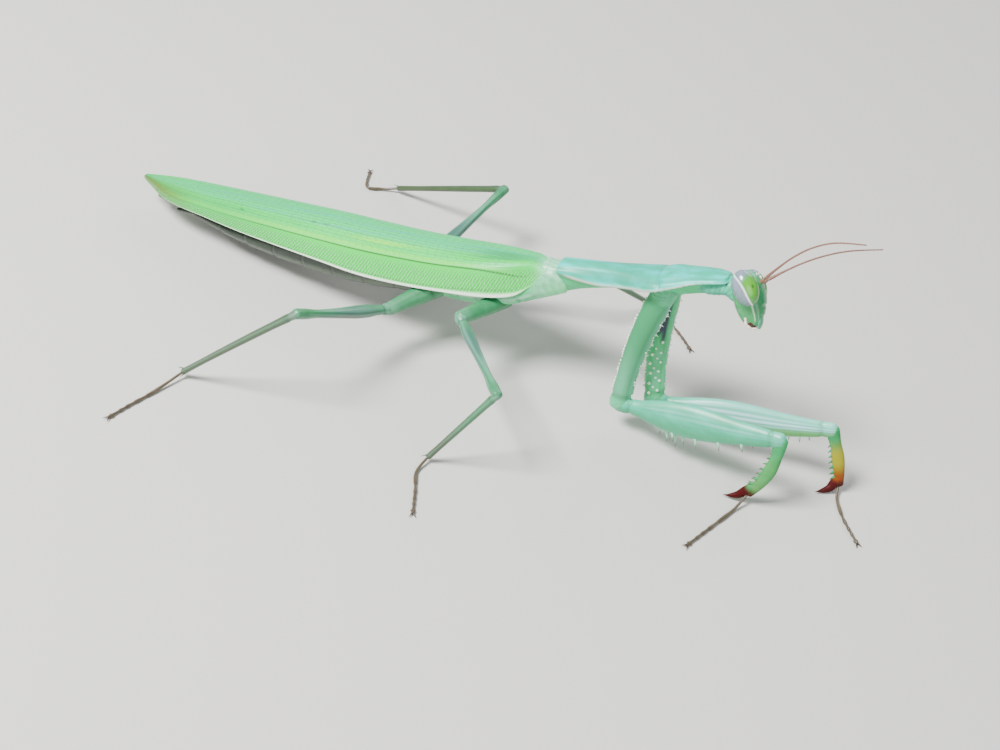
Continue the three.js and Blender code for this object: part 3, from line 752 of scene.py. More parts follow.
@dataclass(frozen=True)
class WingSkin(Finish):
    """Leathery forewing: thin green cuticle with a net of fine veins in its plane.

    The net is drawn from two masks, the distance from the wing's root in millimetres and
    the place across it, so that it follows the wing.

    Attributes:
        net: The colour of the fine veins on the back.
        net_amount: How strong they are.
        between: The colour of the side field between the veinlets.
        veinlet: The colour of the slanting veinlets in the side field.
        veinlet_amount: How strong they are.
        cell_length: The length in millimetres of a cell of the net.
        lines_across: Cells from the fold to the middle of the back, fewer than real so that they show.
        veinlet_step: The distance in millimetres between two veinlets.
        slant: Steps by which a veinlet leans over the whole side field.
        waver: Steps by which it strays from a straight line.
        vein_height: How high the fine veins stand, in millimetres.
    """

    net: str = "#0ea060"
    net_amount: float = 0.45
    between: str = "#02a034"
    veinlet: str = "#a4f8ac"
    veinlet_amount: float = 0.62
    cell_length: float = 0.9
    lines_across: float = 15.0
    veinlet_step: float = 0.36
    slant: float = 5.0
    waver: float = 1.5
    vein_height: float = 0.02

    def net_lines(self, tree: Tree) -> tuple[Socket, ...]:
        """Where the fine veins run: the borders of long cells, and slanting stripes.

        A stripe is where the fraction of distance / veinlet_step + slant place + waver
        noise comes near a half.

        Args:
            tree: The material's node tree.

        Returns:
            The strength of the net on the back, of the veinlets in the side field, and of that field.
        """
        span = node(tree, MASK, output="Fac", attribute_name="span")
        place = node(tree, MASK, output="Fac", attribute_name="place")
        along = node(tree, MATH, {0: span, 1: self.cell_length}, operation="DIVIDE")
        across = node(tree, MATH, {0: place, 1: self.lines_across}, operation="MULTIPLY")
        where = node(tree, "ShaderNodeCombineXYZ", {"X": along, "Y": across})
        cells = node(
            tree, CELLS, {"Vector": where, "Scale": 1.0, "Randomness": 0.7},
            feature="DISTANCE_TO_EDGE", voronoi_dimensions="2D",
        )
        thin = {"Value": cells, "From Min": 0.02, "From Max": 0.14, "To Min": 1.0, "To Max": 0.0}
        net = node(tree, RANGE, thin)
        back = node(tree, RANGE, {"Value": place, "From Min": -0.02, "From Max": 0.08})
        net = node(tree, MATH, {0: net, 1: back}, operation="MULTIPLY")
        stray = node(tree, NOISE, {"Vector": where, "Scale": 1.3, "Detail": 2.0})
        steps = node(tree, MATH, {0: span, 1: self.veinlet_step}, operation="DIVIDE")
        steps = node(tree, MATH, {0: place, 1: self.slant, 2: steps}, operation="MULTIPLY_ADD")
        steps = node(tree, MATH, {0: stray, 1: self.waver, 2: steps}, operation="MULTIPLY_ADD")
        stripe = node(tree, MATH, {0: steps}, operation="FRACT")
        stripe = node(tree, MATH, {0: stripe, 1: 0.5}, operation="SUBTRACT")
        stripe = node(tree, MATH, {0: stripe}, operation="ABSOLUTE")
        thin = {"Value": stripe, "From Min": 0.06, "From Max": 0.22, "To Min": 1.0, "To Max": 0.0}
        stripe = node(tree, RANGE, thin)
        low = node(tree, RANGE, {"Value": place, "From Min": -0.05, "From Max": -0.4})
        stripe = node(tree, MATH, {0: stripe, 1: low}, operation="MULTIPLY")
        return net, stripe, low

    def colour(self, tree: Tree) -> Socket:
        """The cuticle's colour with the fine veins drawn in.

        Args:
            tree: The material's node tree.

        Returns:
            The colour's socket.
        """
        net, veinlets, low = self.net_lines(tree)
        margin = node(tree, MASK, output="Fac", attribute_name="margin")
        inside = node(tree, MATH, {0: 0.5, 1: margin}, operation="SUBTRACT")
        shade = super().colour(tree)
        for line, strength, over in (
            (net, self.net_amount, self.net),
            (low, inside, self.between),
            (veinlets, self.veinlet_amount, self.veinlet),
        ):
            amount = node(tree, MATH, {0: line, 1: strength}, operation="MULTIPLY")
            colours = {AMOUNT: amount, UNDER: shade, OVER: linear(over)}
            shade = node(tree, MIX, colours, MIXED, data_type="RGBA")
        return shade

    def height(self, tree: Tree) -> Socket:
        """The grain with the fine veins raised on it.

        Args:
            tree: The material's node tree.

        Returns:
            The height's socket, in metres.
        """
        net, veinlets, _ = self.net_lines(tree)
        lines = node(tree, MATH, {0: net, 1: veinlets}, operation="ADD")
        lines = node(tree, MATH, {0: lines, 1: self.vein_height * MM}, operation="MULTIPLY")
        return node(tree, MATH, {0: super().height(tree), 1: lines}, operation="ADD")


@dataclass(frozen=True)
class EyeSkin(Finish):
    """Compound eye: clear facets over coloured pigment, glossy, with a fine even net.

    Attributes:
        facet_size: A facet's width in millimetres, about three times the real one so that it shows.
        facet_height: How far a facet rises, in millimetres.
    """

    facet_size: float = 0.11
    facet_height: float = 0.006

    def height(self, tree: Tree) -> Socket:
        """Facets as rounded cells.

        Args:
            tree: The material's node tree.

        Returns:
            The height's socket, in metres.
        """
        place = node(tree, PLACE, output="Object")
        facets = {"Vector": place, "Scale": 1 / (self.facet_size * MM), "Randomness": 0.25}
        cells = node(tree, CELLS, facets)
        return node(tree, MATH, {0: cells, 1: -self.facet_height * MM}, operation="MULTIPLY")


# The shield's cuticle is thick and tanned under a bloom of wax. The eye gets a firm
# turquoise with long soft clouds, and a pale seam where its edge is thin. Its shade layer
# is darker across the middle of the top and painted shade in the side grooves and the
# cross groove, with a line along the keel.
PRONOTUM_SKIN = Finish(
    "pronotum_cuticle", "cuticle", "#04b494", "#1ce4e0",
    cloud_size=0.9, cloud_amount=0.75, stretch=(0.16, 1.0, 1.0), wax=0.05, ior=1.45,
    layers=(
        Layer("under", "#34c468", 0.8), Layer("shade", "#1f9478", 0.65),
        Layer("edge", "#f2dcd4", 0.85), Layer("pink", "#d98f94", 0.6),
    ),
)

# The thorax is plates in thin folded skin, so the eye gets a milky green between pale ridges.
# The paleness on the crests of the folds and ridges is a painted highlight. The crease layer
# is darker in the seams and painted shade in the troughs of the folds.
THORAX_SKIN = Finish(
    "thorax_cuticle", "cuticle", "#2cb468", "#6cdca0",
    cloud_size=0.7, cloud_amount=0.7, stretch=(0.5, 1.0, 1.0),
    layers=(
        Layer("membrane", "#3ce47c", 0.7), Layer("pale", "#c4f0dc", 0.8),
        Layer("crease", "#2c8458", 0.6),
    ),
)

# The abdomen and the tail feelers are painted a dark, dull grey green: painted shade,
# for the shade that they lie in under the wings.
ABDOMEN_PAINTED_SHADE_SKIN = Finish(
    "abdomen_cuticle_painted_shade", "cuticle", "#26342a", "#3c4c38",
    cloud_size=0.9, cloud_amount=0.6, stretch=(0.6, 1.0, 1.0),
    layers=(
        Layer("band", "#202e24", 0.6), Layer("pale", "#64785e", 0.4),
        Layer("dot", "#1c261e", 0.8),
    ),
)

# A forewing is leathery and nearly matte. The eye gets leaf green along the side, a bluer
# back, and a hard white edge.
FOREWING_SKIN = WingSkin(
    "forewing_skin", "wing", "#00e044", "#1cec6c",
    cloud_size=2.2, cloud_amount=0.5, stretch=(0.25, 1.0, 1.0), roughness=0.45, depth=0.06, wax=0.03, ior=1.4,
    layers=(
        Layer("back", "#06d27c", 0.75), Layer("blue", "#34b8a8", 0.55),
        Layer("lower", "#00ee40", 0.8), Layer("rear", "#02b03c", 0.7),
        Layer("lime", "#84f438", 0.6), Layer("stigma", "#9cfc1c", 0.85),
        Layer("base", "#a8f8c8", 0.75), Layer("fan", "#04904e", 0.7),
        Layer("tip", "#6c5820", 0.95), Layer("vein", "#0a8460", 0.5),
        Layer("radius", "#2c640c", 0.95), Layer("speck", "#1c4030", 0.9),
        Layer("line", "#4c7038", 0.7), Layer("margin", "#f8fcee", 1.0),
    ),
)

# A hindwing is a thin film in many folds. The eye gets a smoky, slightly clear grey green.
HINDWING_SKIN = Finish(
    "hindwing_film", "wing_under", "#6c8468", "#90a484",
    cloud_size=1.5, cloud_amount=0.6, stretch=(0.2, 1.0, 1.0), depth=0.2,
)

# The neck is soft skin. It is duller than the plates, and painted shade darkens the
# troughs of its wrinkles.
NECK_SKIN = Finish(
    "neck_membrane", "joint", "#2ab088", "#4cd0b4",
    cloud_size=0.6, cloud_amount=0.6, roughness=0.5, depth=0.15, layers=(Layer("crease", "#1f8c68", 0.6),),
)

# The head capsule is hard and polished. The eye gets dark green with small painted
# highlights: a painted glint on the pale simple eyes, and a pale line down each cheek to
# the mouth that is mostly a painted highlight over faint pale ridges and sutures.
FACE_SKIN = Finish(
    "head_cuticle", "face", "#2a9450", "#48b468",
    cloud_size=0.7, cloud_amount=0.6, roughness=0.34,
    layers=(
        Layer("brow", "#5aaa98", 0.7), Layer("deep", "#288458", 0.7),
        Layer("ridge", "#dcf0d0", 0.9), Layer("glass", "#f4f8f0", 0.95),
    ),
)

# A compound eye is clear lenses over pigment: the glossiest surface, grey and violet
# behind a white band, lime green before it, with a dark false pupil. The white band is
# partly the eye's own pale stripe and partly a painted highlight.
EYE_SKIN = EyeSkin(
    "eye_facets", "eye", "#70888c", "#8f8ca8",
    cloud_size=0.8, cloud_amount=0.7, roughness=0.16, wax=0.4, depth=0.15,
    layers=(
        Layer("front", "#359448", 0.95), Layer("green", "#58a824", 0.95),
        Layer("rim", "#4c8050", 0.6), Layer("band", "#f0eef2", 0.9),
        Layer("pupil", "#1f3a18", 0.85),
    ),
)

# A feeler is dry, thin cuticle in many joints: a reddish brown thread with darker rings.
FEELER_SKIN = Finish(
    "feeler_cuticle", "feeler", "#7c5444", "#947060",
    cloud_size=0.8, cloud_amount=0.5, layers=(Layer("socket", "#c8dccc", 0.9), Layer("ring", "#5c342a", 0.6)),
)

# The palps are soft and hardly tanned, so they are ivory with pink joints.
PALP_SKIN = Finish(
    "palp_cuticle", "mouth", "#e4dcc8", "#cfc0a4",
    cloud_size=0.4, cloud_amount=0.5, layers=(Layer("ring", "#b98f88", 0.6),),
)

# A jaw is the hardest cuticle of all, tanned to dark brown horn with a tight gloss.
JAW_SKIN = Finish(
    "jaw_horn", "jaw", "#3a1f18", "#5c3226", cloud_size=0.3, cloud_amount=0.5, roughness=0.25,
)

# A walking leg is a thin tube of cuticle. The eye gets a green hip, a thigh with a blue
# and mauve bloom, and a shin that dulls to olive.
WALKING_SKIN = Finish(
    "walking_leg_cuticle", "cuticle", "#24804e", "#409864",
    cloud_size=1.0, cloud_amount=0.5,
    layers=(
        Layer("blue", "#3e6462", 0.85), Layer("mauve", "#6a5a52", 0.75),
        Layer("dull", "#44442c", 0.85), Layer("pale", "#98ccbc", 0.6),
        Layer("dark", "#24503c", 0.6), Layer("tip", "#3a3020", 0.8),
    ),
)

# A grasping hip piece is stout and slightly rough. The eye gets a fresh green, and inside
# a blue black patch and white warts like enamel. The bright base is painted light on the
# inner faces, and the outer layer painted shade on the outer ones. The fold layer is paler
# on the crests of the wrinkles, a painted highlight, and the dark layer holds painted
# shade in their troughs.
GRASPING_SKIN = Finish(
    "grasping_leg_cuticle", "foreleg_inner", "#2cb868", "#4cc88c",
    cloud_size=1.0, cloud_amount=0.6, roughness=0.42, wax=0.05,
    layers=(
        Layer("outer", "#1b8452", 0.85), Layer("dark", "#14683c", 0.55),
        Layer("pale", "#8cdcc0", 0.6), Layer("fold", "#5cb49c", 0.75),
        Layer("patch", "#14123e", 0.97), Layer("wart", "#f4fcec", 1.0),
        Layer("tooth", "#e8f8e8", 0.95), Layer("tip", "#4a2a20", 0.9),
    ),
)

# A grasping thigh is thick, keeled cuticle under wax. The eye gets turquoise with icy
# streaks on its back, and leaf green below. The icy streaks are partly pale colour and
# partly a painted sheen, strongest on the left thigh, in full light.
THIGH_SKIN = Finish(
    "grasping_thigh_cuticle", "cuticle", "#1ca880", "#40caa8",
    cloud_size=1.3, cloud_amount=0.6, stretch=(0.5, 0.5, 1.0), roughness=0.42, wax=0.15,
    layers=(
        Layer("low", "#2c9c60", 0.6), Layer("leaf", "#6cb834", 0.6),
        Layer("pale", "#90e8d8", 0.6), Layer("dark", "#147850", 0.6),
        Layer("sheen", "#ccf0fc", 0.9), Layer("tooth", "#d4f0d4", 0.9),
        Layer("tip", "#4a2a20", 0.9),
    ),
)

# A grasping shin is tanned more and more towards its claw, without wax. The eye gets
# yellow, then orange, then a deep red horn, nearly without gloss.
CLAW_LEG_SKIN = Finish(
    "claw_leg_cuticle", "claw_leg", "#209050", "#40a868",
    cloud_size=1.0, cloud_amount=0.5, roughness=0.5, wax=0.0, ior=1.28,
    layers=(
        Layer("yellow", "#a89c10", 0.9), Layer("orange", "#8c3a04", 0.95),
        Layer("claw", "#420304", 1.0), Layer("tip", "#4a1c16", 0.9),
    ),
)

# A foot is dry and thin, with worn pads. The eye gets a brown string with darker joints.
FOOT_SKIN = Finish(
    "foot_cuticle", "foot", "#4e4434", "#685a44",
    cloud_size=0.7, cloud_amount=0.6, layers=(Layer("ring", "#443424", 0.7), Layer("tip", "#2c1c14", 0.9)),
)


# ---------------- forewings and hindwings


@dataclass(frozen=True)
class Wing:
    """One wing, folded over the back and down the side.

    Places across it run from the low edge of its side field (-1) over the fold (0) to the
    middle of the back (1) and past it. Places along it run from the root (0) to the tip (1).

    Attributes:
        side: The side that it hangs down on.
        far: The place of its far edge.
        low: The place of its low edge.
        sink: How much it lies lower on the back.
        sink_at_fold: How much it lies lower at the fold.
        start: Where it starts along the wings' length.
        end: Where it ends.
        reach: Its width as a share of the upper wing's.
        length: The wings' length.
        front: How far their root lies before the wing base.
        widths: Half widths of the back, from root to tip.
        drops: Heights of the side field.
        rises: Heights of the middle of the back.
        root_cut: How much the side field is cut away at the root.
        arch: How fast the back falls away from its middle.
        flare: How far the side field leans out, as a share of its drop.
        sheet: The wing's thickness.
        edge_sheet: Its thickness at an edge.
        main_veins: The places of the main veins.
        thin_veins: The places of the thin ones.
        vein_height: How high a main vein stands.
        tip_from: Where the tip starts to draw in.
        root_reach: How far the root draws in.
        specks: Places along and across of the dark specks.
    """

    name: str
    side: Side
    finish: Finish
    far: float
    low: float
    sink: float
    sink_at_fold: float
    start: float
    end: float
    reach: float
    length: float = 50.3
    front: float = -0.3
    widths: Numbers = (1.6, 3.1, 3.6, 3.75, 3.9, 3.9, 3.75, 3.55, 3.2, 2.6, 0.9)
    drops: Numbers = (3.6, 3.25, 3.0, 3.0, 2.85, 2.4, 2.0, 1.6, 1.15, 0.85, 0.6)
    rises: Numbers = (0.5, 0.3, 0.0, -0.15, -0.1, 0.0, 0.0, 0.0, 0.0, 0.0, 0.0)
    root_cut: float = 0.5
    arch: float = 0.072
    flare: float = 0.22
    sheet: float = 0.46
    edge_sheet: float = 0.16
    main_veins: Numbers = (0.24, 0.47, 0.72, 1.2)
    thin_veins: Numbers = (0.14, 0.36, 0.6, 0.86, 1.0, 1.38)
    vein_height: float = 0.06
    tip_from: float = 0.93
    root_reach: float = 0.03
    specks: Rows = ((0.5, 0.52), (0.53, 0.5), (0.62, -0.72), (0.55, -0.7), (0.71, 0.3))
    rows: int = 190
    columns: int = 132

    def veins(self, place: Array, u: Array) -> tuple[Array, Array]:
        """Heights from 0 to 1 of the main and the thin veins, which meet towards the root.

        Args:
            place: Places across the wing.
            u: Places along it.

        Returns:
            The main veins' and the thin veins' heights.
        """
        gather = 1 - 0.35 * bump(u, 0.0, 0.12)
        fade = step(u, 0.01, 0.08) * (1 - step(u, 0.85, 0.99))
        main = sum(bump(place, v * gather, 0.02) for v in self.main_veins) + bump(place, self.radius(u), 0.02)
        thin = sum(bump(place, v * gather, 0.014) for v in self.thin_veins)
        return main * fade, thin * fade * (1 - step(u, 0.6, 0.9))

    def radius(self, u: Array) -> Array:
        """The place of the vein that bounds the side field: at the fold, lower near the root."""
        return -0.04 - 0.5 * bump(u, -0.02, 0.09)

    def closing(self, u: Array) -> Array:
        """How the wing draws in: a quarter circle over its last part and before its root."""
        tip = np.sqrt(within(1 - (within(u - self.tip_from) / (1.006 - self.tip_from)) ** 2))
        return tip * (1 - 0.28 * (within(-u) / self.root_reach) ** 2)

    def face(self, u: Array, place: Array, inset: Array, relief: Array) -> Array:
        """The outer or inner face of the sheet.

        The back falls away by arch times the square of the distance from its middle, and
        the side field drops from the fold, leaning out by flare of its drop.

        Args:
            u: Places along the wing.
            place: Places across it.
            inset: How far the face lies inside the outer one.
            relief: Heights of what stands on it.

        Returns:
            The points in the frame of the hind body.
        """
        close = self.closing(u)
        half = smooth(self.widths, u) * self.reach * close
        drop = smooth(self.drops, u) * close * (1 - self.root_cut * bump(u, -0.01, 0.035))
        back = np.where(place < 1, half - inset, half) * (1 - np.maximum(place, 0))
        down = np.maximum(-place, 0)
        level = self.sink_at_fold + (self.sink - self.sink_at_fold) * step(place, 0, 0.38) + inset
        side = back + drop * down * self.flare + np.where(place < 0, relief, 0)
        height = smooth(self.rises, u) - self.arch * back**2 - level - 0.5 * (1 - step(u, -0.02, 0.02))
        height = height - (drop - inset) * down + np.where(place < 0, 0, relief)
        along = self.front - u * (self.length + self.front) + 0 * place
        return np.stack([along, self.side.hand * side, height], -1)

    def shades(self, u: Array, place: Array) -> dict[str, Array]:
        """The masks of the wing's broad colours: back, side field, root, rear and tip.

        Args:
            u: Places along the wing.
            place: Places across it.

        Returns:
            The masks by name.
        """
        radius = self.radius(u)
        back = step(place, 0.05, 0.3)
        tip = step(u, 0.8, 0.95)
        bloom = within(bump(place, 0.6 + 0.08 * np.sin(9 * u), 0.1) + bump(place, 0.95, 0.12))
        streaks = 0.6 + 0.4 * np.sin(60 * place + 3 * np.sin(40 * u))
        bright = bump(u, 0.08, 0.055) * bump(place, 0.05, 0.14) * streaks
        return {
            "back": step(place, 0.3, 0.9) * (1 - 0.5 * tip),
            "blue": back * bloom * (0.6 + 0.4 * np.sin(24 * place + 30 * u)),
            "rear": step(u, 0.45, 0.8) * (1 - 0.7 * step(place, 0.2, 0.6)),
            "lime": bump(place, radius + 0.11, 0.07) * step(u, 0.02, 0.12) * (1 - 0.6 * step(u, 0.5, 0.8)),
            "lower": (1 - step(place, radius - 0.08, radius)) * (1 - 0.6 * tip),
            "base": within(bright + bump(u, -0.015, 0.018)),
            "fan": bump(u, 0.075, 0.065) * step(place, 0.28, 0.42) * (1 - step(place, 0.8, 1.0)),
            "tip": tip * (1 - step(place, -0.3, 1.0)),
        }

    def marks(self, u: Array, place: Array) -> dict[str, Array]:
        """The masks of the wing's veins, spots, specks and white edge.

        Args:
            u: Places along the wing.
            place: Places across it.

        Returns:
            The masks by name.
        """
        main, thin = self.veins(place, u)
        back = step(place, 0.05, 0.3)
        border = -0.94 - 0.04 * step(u, 0.35, 0.7)
        broad = 0.08 * bump(u, 0.1, 0.08)
        edge = (1 - step(place, border, border + 0.06 + broad)) * (1 - 0.5 * step(u, 0.8, 0.95))
        return {
            "span": u * self.length,
            "place": place,
            "stigma": bump(u, 0.35, 0.07) * bump(place, 0.36 - 0.5 * (u - 0.35), 0.07),
            "vein": within(main * back + 0.7 * thin * back),
            "radius": bump(place, self.radius(u), 0.03) * step(u, 0.01, 0.04) * (1 - step(u, 0.6, 0.85)),
            "speck": sum(bump(u, along, 0.005) * bump(place, across, 0.035) for along, across in self.specks),
            "line": bump(place, border + 0.1 + broad, 0.03) * step(u, 0.03, 0.08),
            "margin": edge * step(u, 0.0, 0.06),
        }

    def build(self) -> None:
        """Makes the wing's skin: the outer face, then the inner one back again."""
        rows = (1 - np.cos(np.linspace(0, np.pi, self.rows))) / 2
        u = (self.start + (self.end - self.start) * rows)[:, None]
        place = np.linspace(self.low, self.far, self.columns)[None]
        full = step(place, self.low, self.low + 0.14) * (1 - step(place, self.far - 0.12, self.far))
        full = full * step(u, -0.02, 0.03) * (1 - step(u, 0.93, 1))
        thick = self.edge_sheet + (self.sheet - self.edge_sheet) * full
        main, thin = self.veins(place, u)
        pleats = 0.05 * np.sin(place * 21) if self.reach < 1 else 0.0
        rim = 0.05 * bump(place, self.low + 0.03, 0.03)
        relief = self.vein_height * (main + thin / 3) + rim + pleats
        outer = self.face(u, place, 0 * thick, relief + 0 * u)
        inner = self.face(u, place, thick, 0 * thick + pleats)
        grid = HIND.out(np.concatenate([outer, inner[:, ::-1]], 1))
        masks = self.shades(u, place) | self.marks(u, place)
        masks = {name: np.broadcast_to(values, outer.shape[:2]) for name, values in masks.items()}
        masks = {name: np.concatenate([values, values[:, ::-1]], 1) for name, values in masks.items()}
        shell = Shell()
        shell.add(grid, Cap.STRIP, **masks)
        shell.dress(self.name, self.finish)


WINGS = (
    Wing(
        "tegmen_right", Side.RIGHT, FOREWING_SKIN,
        far=1.6, low=-1.0, sink=0.0, sink_at_fold=0.0, start=-0.018, end=1.0, reach=1.0,
    ),
    Wing(
        "tegmen_left", Side.LEFT, FOREWING_SKIN,
        far=1.5, low=-1.0, sink=0.9, sink_at_fold=0.3, start=-0.018, end=0.98, reach=1.0,
    ),
    Wing(
        "hindwings", Side.LEFT, HINDWING_SKIN,
        far=2.0, low=0.0, sink=1.8, sink_at_fold=1.8, start=0.02, end=0.96, reach=0.55,
    ),
)


# ---------------- the body


@dataclass(frozen=True)
class Body:
    """Thorax, abdomen, tail feelers, pronotum and neck.

    A row of a form holds x, half width, top, widest height and bottom. A path holds the
    points of a middle line, and width and depth its half widths and half depths. The
    pronotum lies in the frame of the front body, the rest in that of the hind body.

    Attributes:
        seams: Where the seams between the thorax's plates lie.
        ring_start: Where the abdomen's first ring starts.
        ring_reach: The length of all its rings.
        ring_count: The number of its rings.
        cercus_path: The left tail feeler.
        pronotum_tip: The row that the pronotum ends in.
        groove: Where its cross groove lies.
        tooth_step: The distance between two teeth of its edge.
        neck_start: The neck's path inside the pronotum, in its frame.
        neck_end: Its path inside the head, in the head's frame.
    """

    thorax_rows: Rows = (
        (2.5, 1.3, 0.1, -1.4, -2.9), (1.5, 1.68, 0.35, -1.6, -3.35), (0.7, 1.86, 0.42, -2.0, -3.65),
        (0.0, 2.0, 0.35, -2.4, -3.95), (-0.8, 2.25, -0.6, -2.8, -4.2),
        (-3.0, 2.65, -2.4, -3.7, -5.1), (-6.0, 2.65, -2.7, -4.1, -5.9),
        (-9.0, 2.6, -2.7, -4.3, -6.2), (-12.5, 2.5, -2.7, -4.2, -6.1),
    )
    seams: Numbers = (-2.2, -4.4, -6.9, -9.2)
    abdomen_rows: Rows = (
        (-12.8, 2.4, -2.7, -4.2, -6.0), (-17.8, 2.8, -2.7, -4.5, -6.6),
        (-22.8, 3.05, -2.7, -4.6, -6.7), (-27.8, 3.2, -2.7, -4.3, -6.3),
        (-32.8, 3.1, -2.7, -3.9, -5.6), (-37.8, 2.7, -2.7, -3.4, -4.6),
        (-42.8, 1.5, -2.7, -2.9, -3.5),
    )
    ring_start: float = -12.8
    ring_reach: float = 30.0
    ring_count: int = 8
    cercus_path: Rows = ((-41.0, 0.65, -2.9), (-43.4, 1.0, -2.9), (-45.3, 1.28, -2.85))
    cercus_width: Numbers = (0.32, 0.3, 0.27, 0.16)
    cercus_depth: Numbers = (0.3, 0.28, 0.25, 0.15)
    cercus_joints: int = 9
    pronotum_rows: Rows = (
        (1.9, 1.68, 0.44, -0.35, -3.1), (4, 1.65, 0.42, -1.1, -2.65), (6.1, 1.66, 0.3, -1.6, -2.45),
        (8.2, 1.82, 0.18, -1.65, -2.4), (10.3, 2.22, 0.05, -1.6, -2.5),
        (12.4, 2.72, -0.1, -1.5, -2.7), (14.5, 2.48, -0.05, -1.15, -2.75),
        (16.6, 1.95, 0, -0.8, -2.55), (18.7, 1.6, -0.1, -0.75, -2.35),
    )
    pronotum_tip: Numbers = (19.5, 1.3, -0.25, -0.85, -2.25)
    groove: float = 12.9
    tooth_step: float = 0.62
    neck_start: Rows = ((16.4, 0, -1.2), (18.0, 0, -1.45), (19.7, 0, -1.55))
    neck_end: Rows = ((-0.9, 0, 0.9), (-0.2, 0, 0.9))
    neck_width: Numbers = (0.9, 1.28, 1.22, 1.1, 1.0)
    neck_depth: Numbers = (0.7, 1.0, 1.02, 1.0, 0.95)

    def thorax(self) -> None:
        """The thorax that carries the wings, with plates and seams on its sides.

        Its front part is wrinkled by two sines of the place along and around it, of which
        the second one makes the ridges on its top.
        """
        rows = smooth(self.thorax_rows, np.linspace(0, 1, 90))
        points, c, s = loft(domed(rows, start=0.5, end=1.0), sides=64, square=0.85)
        x = points[..., 0]
        below = step(-s, 0.05, 0.3)
        seams = below * sum(bump(x + 0.5 * s, at, 0.16) for at in self.seams)
        front = step(x, -1.0, 0.0)
        folds = np.sin(7 * x + 3 * np.sin(3.0 * s + 0.8 * x) + 2 * c) * front
        ridges = np.sin(23 * c + 2 * x) * step(s, 0.1, 0.5) * front
        relief = 0.012 * folds + 0.03 * ridges - 0.12 * seams - 0.15 * bump(s, -0.98, 0.1)
        # streaks: a paler front, with painted highlights on the crests of the folds and ridges.
        streaks = 0.25 * front + 0.12 * within(folds) + 0.4 * within(ridges)
        shell = Shell()
        shell.add(
            HIND.out(raised(points, relief)),
            pale=within(0.6 * bump(s, -0.15, 0.12) * (1 - front) + streaks),
            membrane=front * step(x, 0.2, 1.2) * step(-s, -0.2, 0.3),
            # crease: darker seams, and painted shade in the troughs of the folds.
            crease=within(seams + 0.1 * within(-folds)),
        )
        shell.dress("thorax", THORAX_SKIN)

    def abdomen(self) -> None:
        """The abdomen: each ring widens backwards and overlaps the next one.

        The relief grows with the power 1.5 of the place within a ring, and drops at its
        seam and where the back plates lap over the belly plates.
        """
        rows = smooth(self.abdomen_rows, np.linspace(0, 1, 260))
        points, c, s = loft(domed(rows, start=1.6, end=0.8), sides=72, square=0.85)
        along = np.clip((self.ring_start - points[..., 0]) / self.ring_reach, 0, 0.9999)
        part = along * self.ring_count % 1
        seam = bump(part, 0.0, 0.05) + bump(part, 1.0, 0.05)
        lap = bump(np.abs(c), 0.93, 0.05) * (s < 0)
        relief = 0.05 + 0.07 * part**1.5 - 0.08 * seam - 0.06 * lap
        shell = Shell()
        shell.add(
            HIND.out(raised(points, relief)),
            band=within(seam + 0.6 * bump(part, 0.92, 0.1)),
            dot=bump(part, 0.3, 0.06) * bump(s, -0.25, 0.07),
            pale=bump(s, -0.45, 0.16) * (1 - seam),
        )
        # Its dark skin is painted shade.
        shell.dress("abdomen", ABDOMEN_PAINTED_SHADE_SKIN)

    def tail_feeler(self, side: Side) -> None:
        """One ringed feeler at the tail, which swells by half a sine in each joint.

        Args:
            side: The side that it is on.
        """
        path = HIND.out(np.array(self.cercus_path) * (1, side.hand, 1))
        tube = Tube(path, self.cercus_width, self.cercus_depth, LEFTWARD, rings=70, sides=18)
        part = (tube.t * self.cercus_joints % 1)[:, None]
        shell = Shell()
        shell.add(tube.grid(0.04 * np.sin(np.pi * part)), band=bump(part, 0.0, 0.12))
        # Its dark skin is painted shade.
        shell.dress(f"cercus_{side.word}", ABDOMEN_PAINTED_SHADE_SKIN)

    def pronotum(self) -> None:
        """The long shield of the neck: keeled, with a lateral edge and a cross groove.

        The groove is bent backwards by the square of the place aside. The teeth of the
        edge are a cosine of the place along it.
        """
        rows = np.vstack([smooth(self.pronotum_rows, np.linspace(0, 1, 150)), self.pronotum_tip])
        rows = domed(rows, start=0.2, end=0.5)
        tuck = 0.3 + 0.35 * step(rows[:, :1], 4, 8)
        points, c, s = loft(rows, sides=96, square=0.9, tuck=tuck)
        x = points[..., 0]
        aside = np.abs(c)
        top = step(s, 0.1, 0.3)
        edge = bump(s, 0.03, 0.09)
        groove = bump(x - 0.35 * c**2, self.groove, 0.22) * top
        keel = bump(c, 0.0, 0.05) * top * step(x, 1, 3) * (1 - step(x, 17, 19))
        teeth = 0.5 + 0.5 * np.cos(x * 2 * np.pi / self.tooth_step)
        relief = 0.08 * edge * (0.8 + 0.6 * teeth * step(x, 8, 14)) + 0.06 * keel - 0.09 * groove
        relief = relief - 0.05 * bump(aside, 0.8, 0.12) * top - 0.08 * bump(s, -0.25, 0.12)
        relief = relief + 0.12 * bump(x, self.groove + 1.5, 0.9) * bump(aside, 0.45, 0.25) * top
        # Darker across the middle of the top, and painted shade in the shallow side grooves.
        darker_middle_and_groove_shade = 0.85 * bump(x, 9.2, 3.0) * top + 0.8 * bump(aside, 0.8, 0.1) * top
        shell = Shell()
        shell.add(
            FORE.out(raised(points, relief)),
            under=1 - step(s, -0.12, -0.02),
            edge=0.8 * edge * step(x, 2.2, 3.5) * (1 - 0.7 * step(x, 16, 18)),
            pink=bump(s, -0.04, 0.03) * (1 - step(x, 8, 14)),
            # shade: the darker middle, painted shade in the grooves, and a line along the keel.
            shade=within(darker_middle_and_groove_shade + 0.45 * groove + 0.35 * keel),
        )
        shell.dress("prothorax", PRONOTUM_SKIN)

